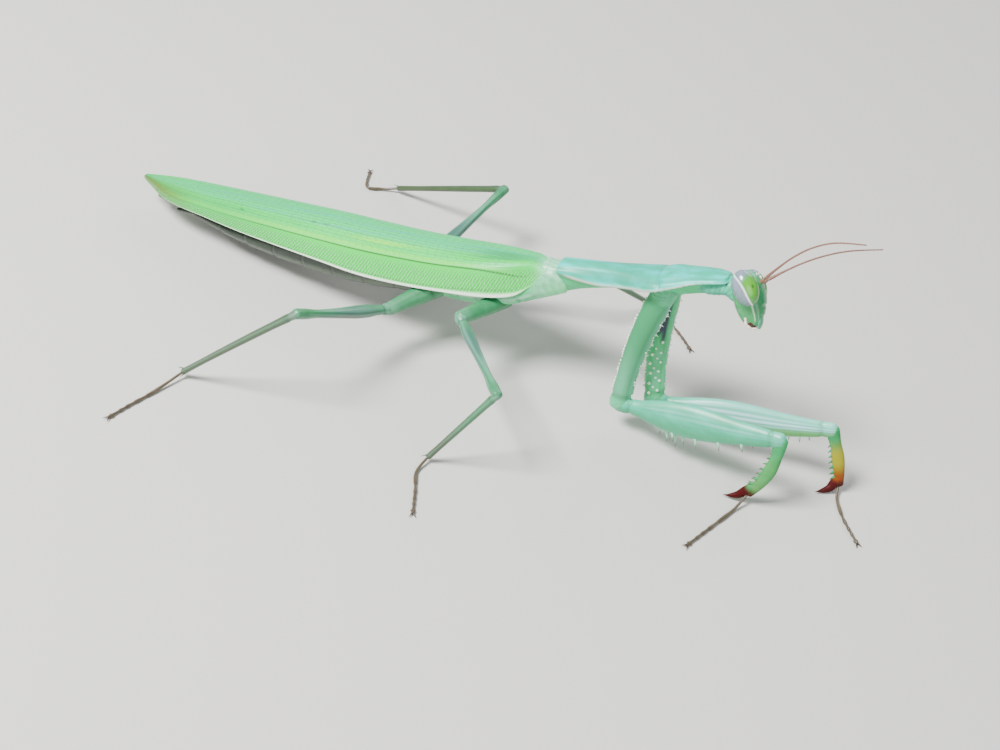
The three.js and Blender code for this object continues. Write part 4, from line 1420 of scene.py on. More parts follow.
    def neck(self) -> None:
        """The soft neck, wrinkled across, from inside the pronotum to inside the head."""
        path = np.vstack([FORE.out(self.neck_start), HEAD.out(self.neck_end)])
        tube = Tube(path, self.neck_width, self.neck_depth, LEFTWARD, rings=90, sides=48)
        wave = np.sin(tube.t[:, None] * 70 + 1.3 * np.sin(2 * tube.turn[None]))
        shell = Shell()
        # crease: painted shade in the troughs of the wrinkles.
        shell.add(tube.grid(0.022 * wave), crease=0.4 * within(-wave))
        shell.dress("neck", NECK_SKIN)

    def build(self) -> None:
        """Makes the skins of the body."""
        self.thorax()
        self.abdomen()
        for side in Side:
            self.tail_feeler(side)
        self.pronotum()
        self.neck()


# ---------------- the head


@dataclass(frozen=True)
class Head:
    """Head capsule, eyes, feelers and mouthparts, in the head's frame.

    A path holds the points of a middle line, of the left one where there are two, and
    width, depth and girth its half sizes.

    Attributes:
        rows: The capsule's rows of height, half width, front, widest place and back.
        crown: The row that it ends in.
        ocelli: The middles of the three simple eyes, the front one first.
        ocellus_radii: Their radii.
        socket_radii: Half sizes of the low ring that each of them stands in.
        eye_halves: A compound eye's half sizes.
        eye_pitch: How far it is tilted forwards, in degrees.
        eye_roll: How far it is tilted to its side, in degrees.
        band_places: Where its white band stands, from its low to its high end.
        pupil: Where its false pupil lies on the unit ball, to the front and aside.
        feeler_root: Where a feeler starts, and its path with it.
        left_rise: How much of its rise the left feeler keeps.
    """

    rows: Rows = (
        (-2.3, 0.7, 0.65, -0.1, -1.0), (-1.7, 0.98, 0.95, 0, -1.3), (-1.0, 1.4, 1.25, 0, -1.5),
        (-0.3, 1.8, 1.45, 0, -1.6), (0.5, 2.05, 1.55, 0, -1.6), (1.3, 2.15, 1.6, 0, -1.55),
        (2.1, 2.1, 1.4, -0.1, -1.45), (2.65, 1.78, 1.0, -0.15, -1.22),
    )
    crown: Numbers = (2.95, 1.3, 0.5, -0.2, -0.85)
    ocelli: Rows = ((1.42, 0, 1.95), (1.2, 0.5, 2.35), (1.2, -0.5, 2.35))
    ocellus_radii: Numbers = (0.23, 0.2, 0.2)
    socket_radii: Numbers = (0.2, 0.27, 0.27)
    eye_halves: Numbers = (1.25, 1.1, 1.85)
    eye_pitch: float = -6.0
    eye_roll: float = -8.0
    band_places: Numbers = (0.12, 0.07, 0.04, 0.0, -0.14, -0.42, -0.8)
    pupil: tuple[float, float] = (0.69, 0.72)
    feeler_root: Numbers = (1.3, 0.6, 1.4)
    feeler_path: Rows = (
        (0, 0, 0), (2.2, 0.8, 1.0), (4.2, 1.7, 1.7), (6.3, 2.9, 2.05), (8.6, 4.3, 1.9),
        (11.4, 6.1, 1.0),
    )
    feeler_girth: Numbers = (0.19, 0.1, 0.082, 0.075, 0.066, 0.05)
    feeler_joints: int = 34
    left_rise: float = 0.62
    lip_path: Rows = ((0.62, 0, -1.7), (0.5, 0, -2.1), (0.36, 0, -2.5), (0.2, 0, -2.82))
    lip_width: Numbers = (0.66, 0.66, 0.6, 0.36)
    lip_depth: Numbers = (0.26, 0.3, 0.28, 0.2)
    jaw_path: Rows = ((-0.4, 0.34, -1.8), (-0.35, 0.4, -2.25), (-0.36, 0.12, -2.74))
    jaw_width: Numbers = (0.34, 0.34, 0.16)
    jaw_depth: Numbers = (0.42, 0.42, 0.22)
    palp_path: Rows = ((-0.7, 0.6, -1.4), (-0.75, 1.12, -2.15), (-0.35, 1.15, -2.72), (0.2, 1.02, -2.84))
    palp_girth: Numbers = (0.15, 0.13, 0.12, 0.09)
    palp_joints: int = 4

    def capsule(self) -> None:
        """The head capsule with its plates, the ridges to the mouth and the simple eyes.

        It is lofted upwards and its points are turned into the head's frame. A plate, a
        ridge or a groove is where the places along, aside and around fall within steps
        or bumps.
        """
        rows = np.vstack([smooth(self.rows, np.linspace(0, 1, 120)), self.crown])
        points, _, s = loft(domed(rows, start=0.3, end=0.12), sides=128, square=0.9)
        points = np.stack([points[..., 2], -points[..., 1], points[..., 0]], -1)
        y, z = points[..., 1], points[..., 2]
        wide = np.abs(y)
        front = step(s, 0.15, 0.35)
        shield = (1 - step(wide, 0.8, 0.95)) * step(z, -0.72, -0.6) * front
        shield = shield * (1 - step(z + 0.25 * wide, 0.75, 0.95))
        lip = (1 - step(wide, 0.62, 0.74)) * step(z, -1.75, -1.62) * (1 - step(z, -0.98, -0.86)) * front
        ridge = bump(s, 0.62 - 0.16 * within((z + 2.2) / 2.4), 0.07)
        ridge = ridge * step(z, -2.35, -1.9) * (1 - step(z, 0.1, 0.6))
        cheek = bump(s, 0.2, 0.05) * step(z, -2.3, -2.0) * (1 - step(z, -0.3, 0.2))
        grooves = bump(wide, 1.15, 0.09) * step(z, 2.0, 2.5)
        middle = bump(y, 0, 0.05) * step(z, 2.3, 2.7)
        behind = bump(s, -0.55, 0.08) * step(z, -1.6, -0.9)
        relief = 0.09 * shield + 0.07 * lip + 0.1 * ridge + 0.09 * cheek
        relief = relief - 0.1 * grooves - 0.05 * middle - 0.07 * behind
        sutures = bump(z + 0.1 * wide, -0.8, 0.05) * (wide < 0.9) * front
        shell = Shell()
        shell.add(
            HEAD.out(raised(points, relief)),
            brow=step(z, 1.9, 2.5),
            deep=front * (1 - step(z, 0.9, 1.6)) * 0.8,
            # ridge: mostly a painted highlight down the cheek to the mouth, over faint pale ridges and
            # sutures.
            ridge=within(cheek + 0.12 * ridge + 0.2 * sutures),
        )
        for place, radius in zip(self.ocelli, self.ocellus_radii, strict=True):
            # Pale simple eyes, with a painted glint.
            shell.add(HEAD.out(ball(np.array(place) - (0.05, 0, 0), radius)), glass=1.0)
            shell.add(HEAD.out(ball(np.array(place) - (0.12, 0, 0), self.socket_radii)), deep=0.6)
        shell.dress("head", FACE_SKIN)

    def eye(self, side: Side) -> None:
        """One compound eye: lavender grey behind, a white band, lime green before it.

        The band stands where the front coordinate of the unit ball equals a value read
        off band_places by height, and the dark false pupil lies level with it in front.

        Args:
            side: The side that it is on.
        """
        pitch, roll = math.radians(self.eye_pitch), math.radians(self.eye_roll * side.hand)
        axes = np.array(Euler((0, pitch, 0)).to_matrix() @ Euler((roll, 0, 0)).to_matrix())
        on = ball(np.zeros(3), 1.0, rings=96, sides=128)
        x, y, z = on[..., 0], on[..., 1] * side.hand, on[..., 2]
        places = smooth(self.band_places, (z + 1.25) / 2.5)
        band = 1 - step(np.abs(x - places), 0.05, 0.1)
        behind = bump(x, places - 0.3, 0.04)
        pupil = np.sqrt((x - self.pupil[0]) ** 2 + (y - self.pupil[1]) ** 2 + (1.2 * z) ** 2)
        rim = 1 - step(y, -0.62, -0.4)
        before = step(x, places + 0.03, places + 0.1) * (1 - step(z - 0.3 * x, 0.25, 0.65))
        lime = bump(np.sqrt((x - 0.5) ** 2 + (0.75 * (z + 0.02)) ** 2), 0.0, 0.52)
        shell = Shell()
        shell.add(
            HEAD.out((on * self.eye_halves) @ axes.T + EYE_MIDDLE * (1, side.hand, 1)),
            front=before,
            green=before * within(1.25 * lime),
            # band: partly the eye's own pale stripe, partly a painted highlight.
            band=band * (1 - rim),
            pupil=bump(pupil, 0, 0.11),
            rim=within(rim + 0.25 * behind),
        )
        shell.dress(f"eye_{side.word}", EYE_SKIN)

    def feeler(self, side: Side) -> None:
        """One feeler: a thick base joint in a pale socket, then many short joints.

        Args:
            side: The side that it is on.
        """
        rise = self.left_rise if side is Side.LEFT else 1.0
        path = np.array(self.feeler_root) + np.array(self.feeler_path) * (1, 1, rise)
        path = path * (1, side.hand, 1)
        girth = self.feeler_girth
        tube = Tube(HEAD.out(path), girth, girth, HEAD.axes[:, 2], rings=300, sides=16)
        part = (tube.t * self.feeler_joints % 1)[:, None]
        first = step(tube.t, 0.05, 0.07)[:, None]
        neck = bump(tube.t, 0.055, 0.012)[:, None]
        relief = 0.02 * np.sin(np.pi * part) * first + 0.02 * (1 - first) - 0.06 * neck
        shell = Shell()
        shell.add(tube.grid(relief), ring=bump(part, 0, 0.15) * first)
        way = unit(path[1] - path[0])
        aside = unit(np.cross(way, UPWARD))
        axes = np.stack([aside, np.cross(way, aside), way], -1)
        shell.add(HEAD.out(ball(path[0] - 0.05 * way, (0.4, 0.4, 0.24), axes)), socket=1.0)
        shell.dress(f"antenna_{side.word}", FEELER_SKIN)

    def lip(self) -> None:
        """The upper lip, with a notch in the middle of its edge."""
        path = HEAD.out(self.lip_path)
        lip = Tube(path, self.lip_width, self.lip_depth, HEAD.axes[:, 1], rings=50, sides=40)
        notch = -0.1 * bump(np.cos(lip.turn)[None], 0, 0.3) * step(lip.t, 0.8, 1.0)[:, None]
        shell = Shell()
        shell.add(lip.grid(notch), deep=0.35 * bump(lip.t, 0.03, 0.06)[:, None], brow=0.6)
        shell.dress("labrum", FACE_SKIN)

    def jaws(self) -> None:
        """The pair of jaws, toothed towards their tips by a sine of the place along them."""
        shell = Shell()
        for hand in (-1, 1):
            path = HEAD.out(np.array(self.jaw_path) * (1, hand, 1))
            jaw = Tube(path, self.jaw_width, self.jaw_depth, HEAD.axes[:, 1], rings=40, sides=24)
            shell.add(jaw.grid((0.04 * np.sin(jaw.t * 25) * step(jaw.t, 0.5, 0.8))[:, None]))
        shell.dress("jaws", JAW_SKIN)

    def palp(self, side: Side) -> None:
        """One jointed palp beside the jaws.

        Args:
            side: The side that it is on.
        """
        path = HEAD.out(np.array(self.palp_path) * (1, side.hand, 1))
        palp = Tube(path, self.palp_girth, self.palp_girth, HEAD.axes[:, 0], rings=110, sides=24)
        part = (palp.t * self.palp_joints % 1)[:, None]
        shell = Shell()
        relief = 0.035 * np.sin(np.pi * part) - 0.02
        shell.add(palp.grid(relief), ring=bump(part, 0, 0.1) + bump(part, 1, 0.1))
        shell.dress(f"palp_{side.word}", PALP_SKIN)

    def build(self) -> None:
        """Makes the skins of the head."""
        self.capsule()
        self.lip()
        self.jaws()
        for side in Side:
            self.palp(side)
        for side in Side:
            self.eye(side)
            self.feeler(side)


# ---------------- the legs


class Pair(Enum):
    """The three pairs of legs, by their word in node names."""

    FORE = "fore"
    MID = "mid"
    HIND = "hind"


@dataclass(frozen=True)
class Girth:
    """A leg piece's half widths and half depths at even steps, and its rings and their points."""

    width: Numbers
    depth: Numbers
    rings: int
    sides: int


@dataclass(frozen=True)
class Reach:
    """A leg piece's length, its turn and climb in degrees, and how far its middle stands aside."""

    length: float
    turn: float
    climb: float
    bow: float = 0.0


@dataclass(frozen=True)
class Spines:
    """A row of spines on a leg piece, on the edge that faces the piece it closes on.

    Attributes:
        side: Where on the edge: 1 outer, 0 middle, -1 inner.
        start: Where the row starts along the piece.
        end: Where it ends.
        lengths: Each spine's length.
        lean: How much they lean towards the piece's end.
        radius: Their radius at the root.
        dark: How dark their tips are.
    """

    side: float
    start: float
    end: float
    lengths: Numbers
    lean: float
    radius: float = 0.24
    dark: float = 1.0


@dataclass(frozen=True)
class LegPlan:
    """Where a leg's three pieces lie, from its root outwards.

    Attributes:
        root: Where its first piece starts.
        foot: The steps of the foot on the floor, each a length and a turn.
        hook: The claw at the end of a grasping tibia.
    """

    pair: Pair
    side: Side
    root: Numbers
    coxa: Reach
    femur: Reach
    tibia: Reach
    foot: Rows
    hook: Reach | None = None

    @property
    def name(self) -> str:
        """The leg's name in the frame's nodes."""
        return f"{self.pair.value}_{self.side.word}"


GIRTHS = {
    Pair.FORE: (
        Girth((0.85, 1, 1, 0.92, 0.86, 0.9), (1.3, 1.28, 1.18, 1.08, 1.02, 1.15), 130, 72),
        Girth(
            (0.75, 0.7, 0.85, 0.95, 0.98, 0.95, 0.88, 0.75, 0.66, 0.62),
            (0.95, 0.9, 1.4, 1.8, 1.95, 1.85, 1.6, 1.3, 1.05, 0.85), 190, 72,
        ),
        Girth((0.55, 0.5, 0.5, 0.45, 0.4), (0.75, 0.62, 0.72, 0.62, 0.5), 130, 56),
    ),
    Pair.MID: (
        Girth((0.95, 0.95, 0.85, 0.75), (1, 0.98, 0.88, 0.75), 70, 48),
        Girth(
            (0.62, 0.5, 0.62, 0.58, 0.5, 0.45, 0.41, 0.4, 0.48, 0.5),
            (0.62, 0.52, 0.64, 0.6, 0.52, 0.47, 0.43, 0.42, 0.55, 0.56), 170, 40,
        ),
        Girth((0.42, 0.34, 0.33, 0.31, 0.3, 0.28, 0.3), (0.48, 0.38, 0.34, 0.32, 0.3, 0.28, 0.3), 170, 36),
    ),
    Pair.HIND: (
        Girth((1.2, 1.05, 0.88, 0.72), (1.25, 1.1, 0.9, 0.72), 70, 48),
        Girth(
            (0.62, 0.54, 0.66, 0.66, 0.58, 0.5, 0.44, 0.4, 0.48, 0.5),
            (0.64, 0.56, 0.7, 0.7, 0.6, 0.52, 0.46, 0.43, 0.55, 0.56), 170, 40,
        ),
        Girth((0.42, 0.35, 0.35, 0.33, 0.31, 0.29, 0.31), (0.48, 0.4, 0.36, 0.34, 0.31, 0.29, 0.31), 170, 36),
    ),
}

LEGS = (
    LegPlan(
        Pair.FORE, Side.RIGHT, (13.05, -1.0, 17.3),
        Reach(14.4, -102, -77.5, 0.6), Reach(17.8, -4.5, 16.8, 0.3), Reach(7.2, -120, -75.5, -0.6),
        ((2.4, -110), (3.4, -112), (4.0, -112)), Reach(2.7, 196, -25),
    ),
    LegPlan(
        Pair.FORE, Side.LEFT, (12.9, 2.1, 16.9),
        Reach(14.3, -54.5, -71.8, 0.5), Reach(18.85, 6, 12.3, 0.55), Reach(7.0, -6, -65, -0.2),
        ((1.6, -75), (2.6, -62), (3.4, -50)), Reach(2.8, 224, -15),
    ),
    LegPlan(
        Pair.MID, Side.RIGHT, (-3.0, -1.7, 8.6),
        Reach(6.25, -116.8, 0.5), Reach(13, -49.7, 6.9), Reach(11, -152.5, -59.7),
        ((2.1, -98), (2.4, -67), (3.1, -68)),
    ),
    LegPlan(
        Pair.MID, Side.LEFT, (-4.4, 2.2, 6.5),
        Reach(4.7, 141, -2), Reach(12.5, 20, 5), Reach(11.6, 49, -36.5),
        ((3.6, -30), (2.2, -38), (2, -44)),
    ),
    LegPlan(
        Pair.HIND, Side.RIGHT, (-10.5, -2.5, 7.3),
        Reach(6.1, -124, -13), Reach(14.5, -111, 25.3, 0.45), Reach(16, -164, -45, -0.25),
        ((4, -108), (2.8, -109), (2.6, -107)),
    ),
    LegPlan(
        Pair.HIND, Side.LEFT, (-10, 2, 6),
        Reach(5.3, 167, -20), Reach(14.5, 74, 16.4), Reach(16.1, 172, -27.8),
        ((2, -160), (1.9, -158), (3.3, 111)),
    ),
)


@dataclass
class Leg(ABC):
    """One leg: hip piece, thigh, shin and five-jointed foot, each a skin of its own.

    Attributes:
        plan: Where its pieces lie.
        foot_radius: The foot's half width.
        foot_lift: How high its middle line runs over the floor.
        foot_joints: Where its joints start and end, from 0 to 1.
        joint_shape: Half widths along a joint, as shares of the foot's.
        joint_overlap: How far a joint starts inside the one before.
        claw_spread: How far each of its claws turns aside, in degrees.
        claw_length: Their length.
        claw_radius: Their radius at the root.
        ways: The unit direction of each piece.
        plane: The unit direction square to femur and tibia.
        outside: The same or its opposite, whichever points away from the body.
        ends: The start of the first piece, then the end of each.
        tubes: The pieces' tubes.
    """

    plan: LegPlan
    foot_radius: float = 0.2
    foot_lift: float = 0.24
    foot_joints: Numbers = (0.0, 0.5, 0.66, 0.77, 0.86, 1.0)
    joint_shape: Numbers = (0.72, 0.7, 0.74, 0.84, 1.0, 0.9)
    joint_overlap: float = 0.012
    claw_spread: float = 30.0
    claw_length: float = 0.75
    claw_radius: float = 0.13
    ways: list[Array] = field(init=False)
    plane: Array = field(init=False)
    outside: Array = field(init=False)
    ends: list[Array] = field(init=False)
    tubes: list[Tube] = field(init=False)

    def __post_init__(self) -> None:
        """Lays out the leg's pieces, each from the end of the one before."""
        pieces = (self.plan.coxa, self.plan.femur, self.plan.tibia)
        self.ways = [heading(piece.turn, piece.climb) for piece in pieces]
        self.plane = unit(np.cross(self.ways[1], self.ways[2]))
        self.outside = self.plane * self.plan.side.hand
        self.ends = [np.array(self.plan.root, float)]
        self.tubes = []
        for piece, way, girth in zip(pieces, self.ways, GIRTHS[self.plan.pair], strict=True):
            path = self.bowed(self.ends[-1], piece, way)
            tube = Tube(path, girth.width, girth.depth, self.width_way(), girth.rings, girth.sides)
            self.tubes.append(tube)
            self.ends.append(self.ends[-1] + way * piece.length)

    @abstractmethod
    def width_way(self) -> Array:
        """The direction that the pieces' width lies along."""

    @abstractmethod
    def coxa(self) -> None:
        """Makes the skin of the hip piece."""

    @abstractmethod
    def femur(self) -> None:
        """Makes the skin of the thigh."""

    @abstractmethod
    def tibia(self) -> None:
        """Makes the skin of the shin."""

    def bowed(self, start: Array, piece: Reach, way: Array) -> Array:
        """A line bowed aside in the leg's plane: the quadratic curve over three points.

        Args:
            start: Where it starts.
            piece: How long it is, and how far its middle stands aside.
            way: Its unit direction.

        Returns:
            Nine points on it.
        """
        end = start + way * piece.length
        bend = (start + end) / 2 + unit(np.cross(self.plane, way)) * 2 * piece.bow
        t = np.linspace(0, 1, 9)[:, None]
        return (1 - t) ** 2 * start + 2 * t * (1 - t) * bend + t**2 * end

    def facing(self, tube: Tube, towards: Array) -> tuple[Array, Array]:
        """How much each point of a tube faces a direction, and the leg's outside.

        These are the sine and the cosine of its turn, with the sign of the direction on
        the tube's depth and of the outside on its width.

        Args:
            tube: The tube.
            towards: The direction.

        Returns:
            Two arrays of rings by sides, from -1 to 1.
        """
        toward = np.sign(tube.deep @ towards)[:, None] * np.sin(tube.turn)
        outer = np.sign(tube.across @ self.outside)[:, None] * np.cos(tube.turn)
        return toward, outer

    def edge(self, tube: Tube, ring: int, towards: Array) -> Array:
        """The unit direction square to a tube at a ring that is nearest to another direction."""
        tangent = tube.tangent(ring)
        return unit(towards - tangent * (towards @ tangent))

    def tarsus(self) -> None:
        """The foot: one long and four short joints, then two claws, down on the floor.

        Its line runs smoothly over the steps of the plan and never under foot_lift. A
        claw points the last way of the line turned by claw_spread, slightly upwards.
        """
        start = self.ends[3]
        at = np.array([start[0], start[1], self.foot_lift])
        points = [start]
        for length, turn in self.plan.foot:
            at = at + heading(turn, 0) * length
            points.append(at)
        line = smooth(np.array(points), np.linspace(0, 1, 120))
        line[:, 2] = np.maximum(line[:, 2], self.foot_lift)
        run = run_length(line)
        run = run / run[-1]
        shell = Shell()
        for low, high in zip(self.foot_joints[:-1], self.foot_joints[1:], strict=True):
            places = np.linspace(max(low - self.joint_overlap, 0), high, 7)
            path = np.stack([np.interp(places, run, line[:, k]) for k in range(3)], -1)
            girth = np.array(self.joint_shape) * self.foot_radius * (1 - 0.12 * low)
            up = UPWARD + 0.02 * LEFTWARD
            joint = Tube(path, girth, girth, up, rings=34, sides=20, blunt=(0.8, 0.5))
            t = joint.t[:, None]
            shell.add(joint.grid(), ring=bump(t, 1.0, 0.12) + 0.6 * bump(t, 0, 0.08), tip=0.3 * low)
        way = unit(line[-1] - line[-8])
        for hand in (-1, 1):
            turn = math.radians(self.claw_spread * hand)
            c, s = math.cos(turn), math.sin(turn)
            out = unit(np.array([way[0] * c - way[1] * s, way[0] * s + way[1] * c, 0.1]))
            claw = cone(line[-1] - 0.1 * way, out, self.claw_length, self.claw_radius, -0.12 * UPWARD)
            shell.add(claw, tip=step(SPINE_RISE, 0.1, 0.5))
        shell.dress(f"{self.plan.name}_tarsus", FOOT_SKIN)

    def build(self) -> None:
        """Makes the leg's four skins."""
        self.coxa()
        self.femur()
        self.tibia()
        self.tarsus()


@dataclass
class GraspingLeg(Leg):
    """A foreleg that folds its shin against its thigh, with spines on both.

    Attributes:
        coxa_teeth: The small teeth on the hip piece's edge.
        femur_spines: The rows of spines on the thigh.
        tibia_spines: The rows of spines on the shin.
        wart_count: White warts inside the hip piece.
        granule_count: Small pale granules along its two edges.
        hook_width: Half widths of the claw at the shin's end.
        hook_depth: Its half depths.
    """

    coxa_teeth: Spines = Spines(0, 0.12, 0.9, (0.28, 0.4) * 9, lean=0.1, radius=0.14, dark=0.0)
    femur_spines: tuple[Spines, ...] = (
        Spines(1, 0.36, 0.78, (0.75, 0.85, 0.8, 0.7), lean=0.35),
        Spines(0, 0.27, 0.42, (0.6, 1.15, 1.35, 0.8), lean=0.15, radius=0.26),
        Spines(-1, 0.38, 0.88, (0.6, 0.4) * 5, lean=0.2, radius=0.2),
    )
    tibia_spines: tuple[Spines, ...] = (
        Spines(1, 0.3, 0.84, (0.35, 0.4, 0.45, 0.5, 0.55, 0.6), lean=0.75, radius=0.18),
        Spines(-1, 0.26, 0.86, (0.35, 0.4, 0.4, 0.45, 0.5, 0.55, 0.6), lean=0.75, radius=0.18),
    )
    wart_count: int = 17
    granule_count: int = 64
    hook_width: Numbers = (0.4, 0.42, 0.27, 0.03)
    hook_depth: Numbers = (0.46, 0.5, 0.32, 0.03)

    def width_way(self) -> Array:
        """The direction that the pieces' width lies along: square to the leg's plane."""
        return self.plane

    def spines(self, shell: Shell, tube: Tube, row: Spines, towards: Array) -> None:
        """Adds a row of spines with dark tips to a shell.

        A spine stands on the ellipse of its ring, half its side aside, and leans by the
        row's lean towards the piece's end.

        Args:
            shell: The shell.
            tube: The piece that they stand on.
            row: The row.
            towards: The direction that their edge faces.
        """
        aside = 0.5 * row.side
        places = np.linspace(row.start, row.end, len(row.lengths))
        for place, length in zip(places, row.lengths, strict=True):
            ring = tube.nearest(place)
            tangent, edge = tube.tangent(ring), self.edge(tube, ring, towards)
            foot = tube.middle[ring] + edge * tube.radii[1][ring] * math.sqrt(1 - aside**2)
            foot = foot + self.outside * tube.radii[0][ring] * aside
            way = unit(edge + tangent * row.lean + self.outside * aside * 0.6)
            shell.add(
                cone(foot, way, length * 1.12, row.radius, -0.12 * length * tangent),
                tip=row.dark * step(SPINE_RISE, 0.5, 0.9),
                tooth=1 - 0.55 * row.dark * step(SPINE_RISE, -0.5, 0.5),
            )

    def beads(self, shell: Shell, tube: Tube) -> None:
        """Adds white warts inside the hip piece, and small pale granules along its edges.

        The warts stand in three rows, set off by a sine, and the granules on both edges in turn.

        Args:
            shell: The shell.
            tube: The hip piece.
        """
        for k in range(self.wart_count):
            ring = tube.nearest(0.5 + 0.42 * k / (self.wart_count - 1))
            swing = (0.5, -0.42, 0.08)[k % 3] + 0.12 * math.sin(5.3 * k)
            reach = (tube.radii[0][ring] - 0.15) * math.sqrt(1 - swing**2)
            foot = tube.middle[ring] - self.outside * reach
            foot = foot + self.ways[1] * tube.radii[1][ring] * swing
            shell.add(ball(foot, 0.16 + 0.03 * math.sin(2.1 * k), rings=8, sides=12), wart=1.0)
        for k in range(self.granule_count):
            ring = tube.nearest(0.14 + 0.76 * k / (self.granule_count - 1))
            edge = self.edge(tube, ring, self.ways[1]) * (1 if k % 2 else -1)
            swing = 0.22 * math.sin(3.7 * k)
            foot = tube.middle[ring] + edge * (tube.radii[1][ring] + 0.08) * math.sqrt(1 - swing**2)
            foot = foot + self.outside * tube.radii[0][ring] * swing
            shell.add(ball(foot, 0.12 + 0.02 * math.sin(2.3 * k), rings=6, sides=8), wart=0.9)

    def coxa(self) -> None:
        """The hip piece: flat inside, with a dark patch, warts, granules and teeth.

        Both its ends are soft, with wrinkles from the product of two sines. The patch
        has a slanting, ragged lower border.
        """
        tube = self.tubes[0]
        toward, outer = self.facing(tube, self.ways[1])
        t = tube.t[:, None]
        flat = -0.16 * step(-outer, 0.3, 0.9) * step(t, 0.05, 0.2) * (1 - step(t, 0.85, 1.0))
        ridge = 0.12 * bump(toward, 1.0, 0.12) * step(t, 0.08, 0.2) * (1 - step(t, 0.86, 0.98))
        soft = 1 - step(t, 0.05, 0.11) + step(t, 0.93, 0.97)
        wrinkles = np.sin(240 * t + 1.2 * np.sin(3 * tube.turn + 1)) * np.sin(7 * tube.turn + 30 * t) * soft
        bare = step(t, 0.4, 0.85) * (1 - 0.7 * step(t, 0.88, 0.95)) * bump(toward, -0.1, 0.8)
        ragged = t - 0.1 * toward + 0.02 * np.sin(9 * toward + 40 * t)
        patch = step(-outer, 0.35, 0.6) * step(t, 0.08, 0.14) * (1 - step(ragged, 0.38, 0.5))
        shell = Shell()
        shell.add(
            tube.grid(flat + ridge + 0.04 * wrinkles - 0.1 * bump(t, 0.93, 0.02)),
            pale=0.55 * bump(toward, 1.0, 0.12) + 0.45 * bare,
            # dark: a line by the front ridge, a darker joint ring near the end, and painted shade in the
            # troughs of the wrinkles.
            dark=0.4 * bump(t, 0.93, 0.02) + 0.45 * within(-wrinkles) + 0.3 * bump(toward, 0.75, 0.08),
            patch=patch * (1 - step(toward, 0.6, 0.8)),
            # fold: the pale soft ends, paler on the crests of the wrinkles as a painted highlight.
            fold=soft * (0.4 + 0.35 * within(wrinkles)),
            # outer: painted shade on the outer faces, against the brighter inner ones.
            outer=step(outer, -0.1, 0.4) * (1 - soft),
        )
        self.beads(shell, tube)
        self.spines(shell, tube, self.coxa_teeth, self.ways[1])
        shell.dress(f"{self.plan.name}_coxa", GRASPING_SKIN)

    def femur(self) -> None:
        """The thigh, with a channel for the shin between its rows of spines.

        Its sheen, partly pale colour and partly a painted highlight, is a broad bump along the
        back, cut into lines by a sine. The left one, in full light, has more of it, and extra
        painted highlight over the upper half of its back.
        """
        left = self.plan.side is Side.LEFT
        # gloss: how strong the painted sheen is on each thigh.
        gloss, width = (1.0, 0.34) if left else (0.28, 0.2)
        tube = self.tubes[1]
        toward, outer = self.facing(tube, self.ways[2])
        t = tube.t[:, None]
        hip, knee = bump(t, 0.075, 0.012), bump(t, 0.945, 0.012)
        span = step(t, 0.22, 0.32) * (1 - step(t, 0.9, 0.97))
        channel = -0.3 * bump(outer, 0, 0.42) * step(toward, 0.5, 0.9) * span
        keels = 0.06 * bump(np.abs(outer), 0.52, 0.1) * step(toward, 0.3, 0.6) * span
        keels = keels + 0.03 * bump(toward, -1.0, 0.08) * step(t, 0.15, 0.3)
        lines = 0.55 + 0.45 * np.sin(22 * toward + 5 * t)
        sheen = gloss * bump(toward, -0.6 + 0.3 * t, width) * step(t, 0.08, 0.3)
        pale = 0.4 * step(toward, 0.5, 1.0) + 0.3 * bump(t, 0.98, 0.04) + 0.2 * bump(toward, -0.97, 0.08)
        dark = 0.6 * hip + 0.3 * bump(toward, 0.1, 0.2) + 0.5 * bump(t, 0.945, 0.014)
        shell = Shell()
        shell.add(
            tube.grid(channel + keels - 0.1 * hip + 0.05 * bump(t, 0.04, 0.02) - 0.08 * knee),
            # sheen: partly pale colour, partly a painted highlight.
            sheen=sheen * (1 - 0.6 * step(t, 0.8, 1)) * lines,
            # The left thigh's extra term: painted highlight over the upper half of its back.
            pale=within(pale + 0.6 * left * step(-toward, 0.0, 0.5) * step(t, 0.1, 0.3)),
            dark=within(dark + 0.7 * gloss * (1 - lines) * bump(toward, -0.5, 0.4)),
            low=step(toward, -0.1, 0.5),
            leaf=left * step(toward, -0.25, 0.2) * step(t, 0.3, 0.6),
        )
        for row in self.femur_spines:
            self.spines(shell, tube, row, self.ways[2])
        shell.dress(f"{self.plan.name}_femur", THIGH_SKIN)

    def tibia(self) -> None:
        """The shin, with two rows of spines and a hooked claw at its end.

        The left one is tanned yellow and orange before it darkens to the claw.
        """
        left = 1.0 if self.plan.side is Side.LEFT else 0.12
        tube = self.tubes[2]
        toward, outer = self.facing(tube, -self.ways[1])
        t = tube.t[:, None]
        shell = Shell()
        shell.add(
            tube.grid(-0.1 * bump(outer, 0, 0.4) * step(toward, 0.5, 0.9) * step(t, 0.2, 0.35)),
            yellow=left * step(t, 0.1, 0.45),
            orange=left * step(t, 0.55, 0.85),
            claw=0.95 * step(t, 0.85, 0.98),
        )
        for row in self.tibia_spines:
            self.spines(shell, tube, row, -self.ways[1])
        hook = heading(self.plan.hook.turn, self.plan.hook.climb) * self.plan.hook.length
        end, way = self.ends[3], self.ways[2]
        path = np.stack([end - 0.9 * way, end + 0.4 * hook + 0.15 * way, end + hook])
        claw = Tube(path, self.hook_width, self.hook_depth, self.plane, rings=70, sides=28)
        shell.add(claw.grid(), claw=step(claw.t, 0.0, 0.25)[:, None], orange=left)
        shell.dress(f"{self.plan.name}_tibia", CLAW_LEG_SKIN)


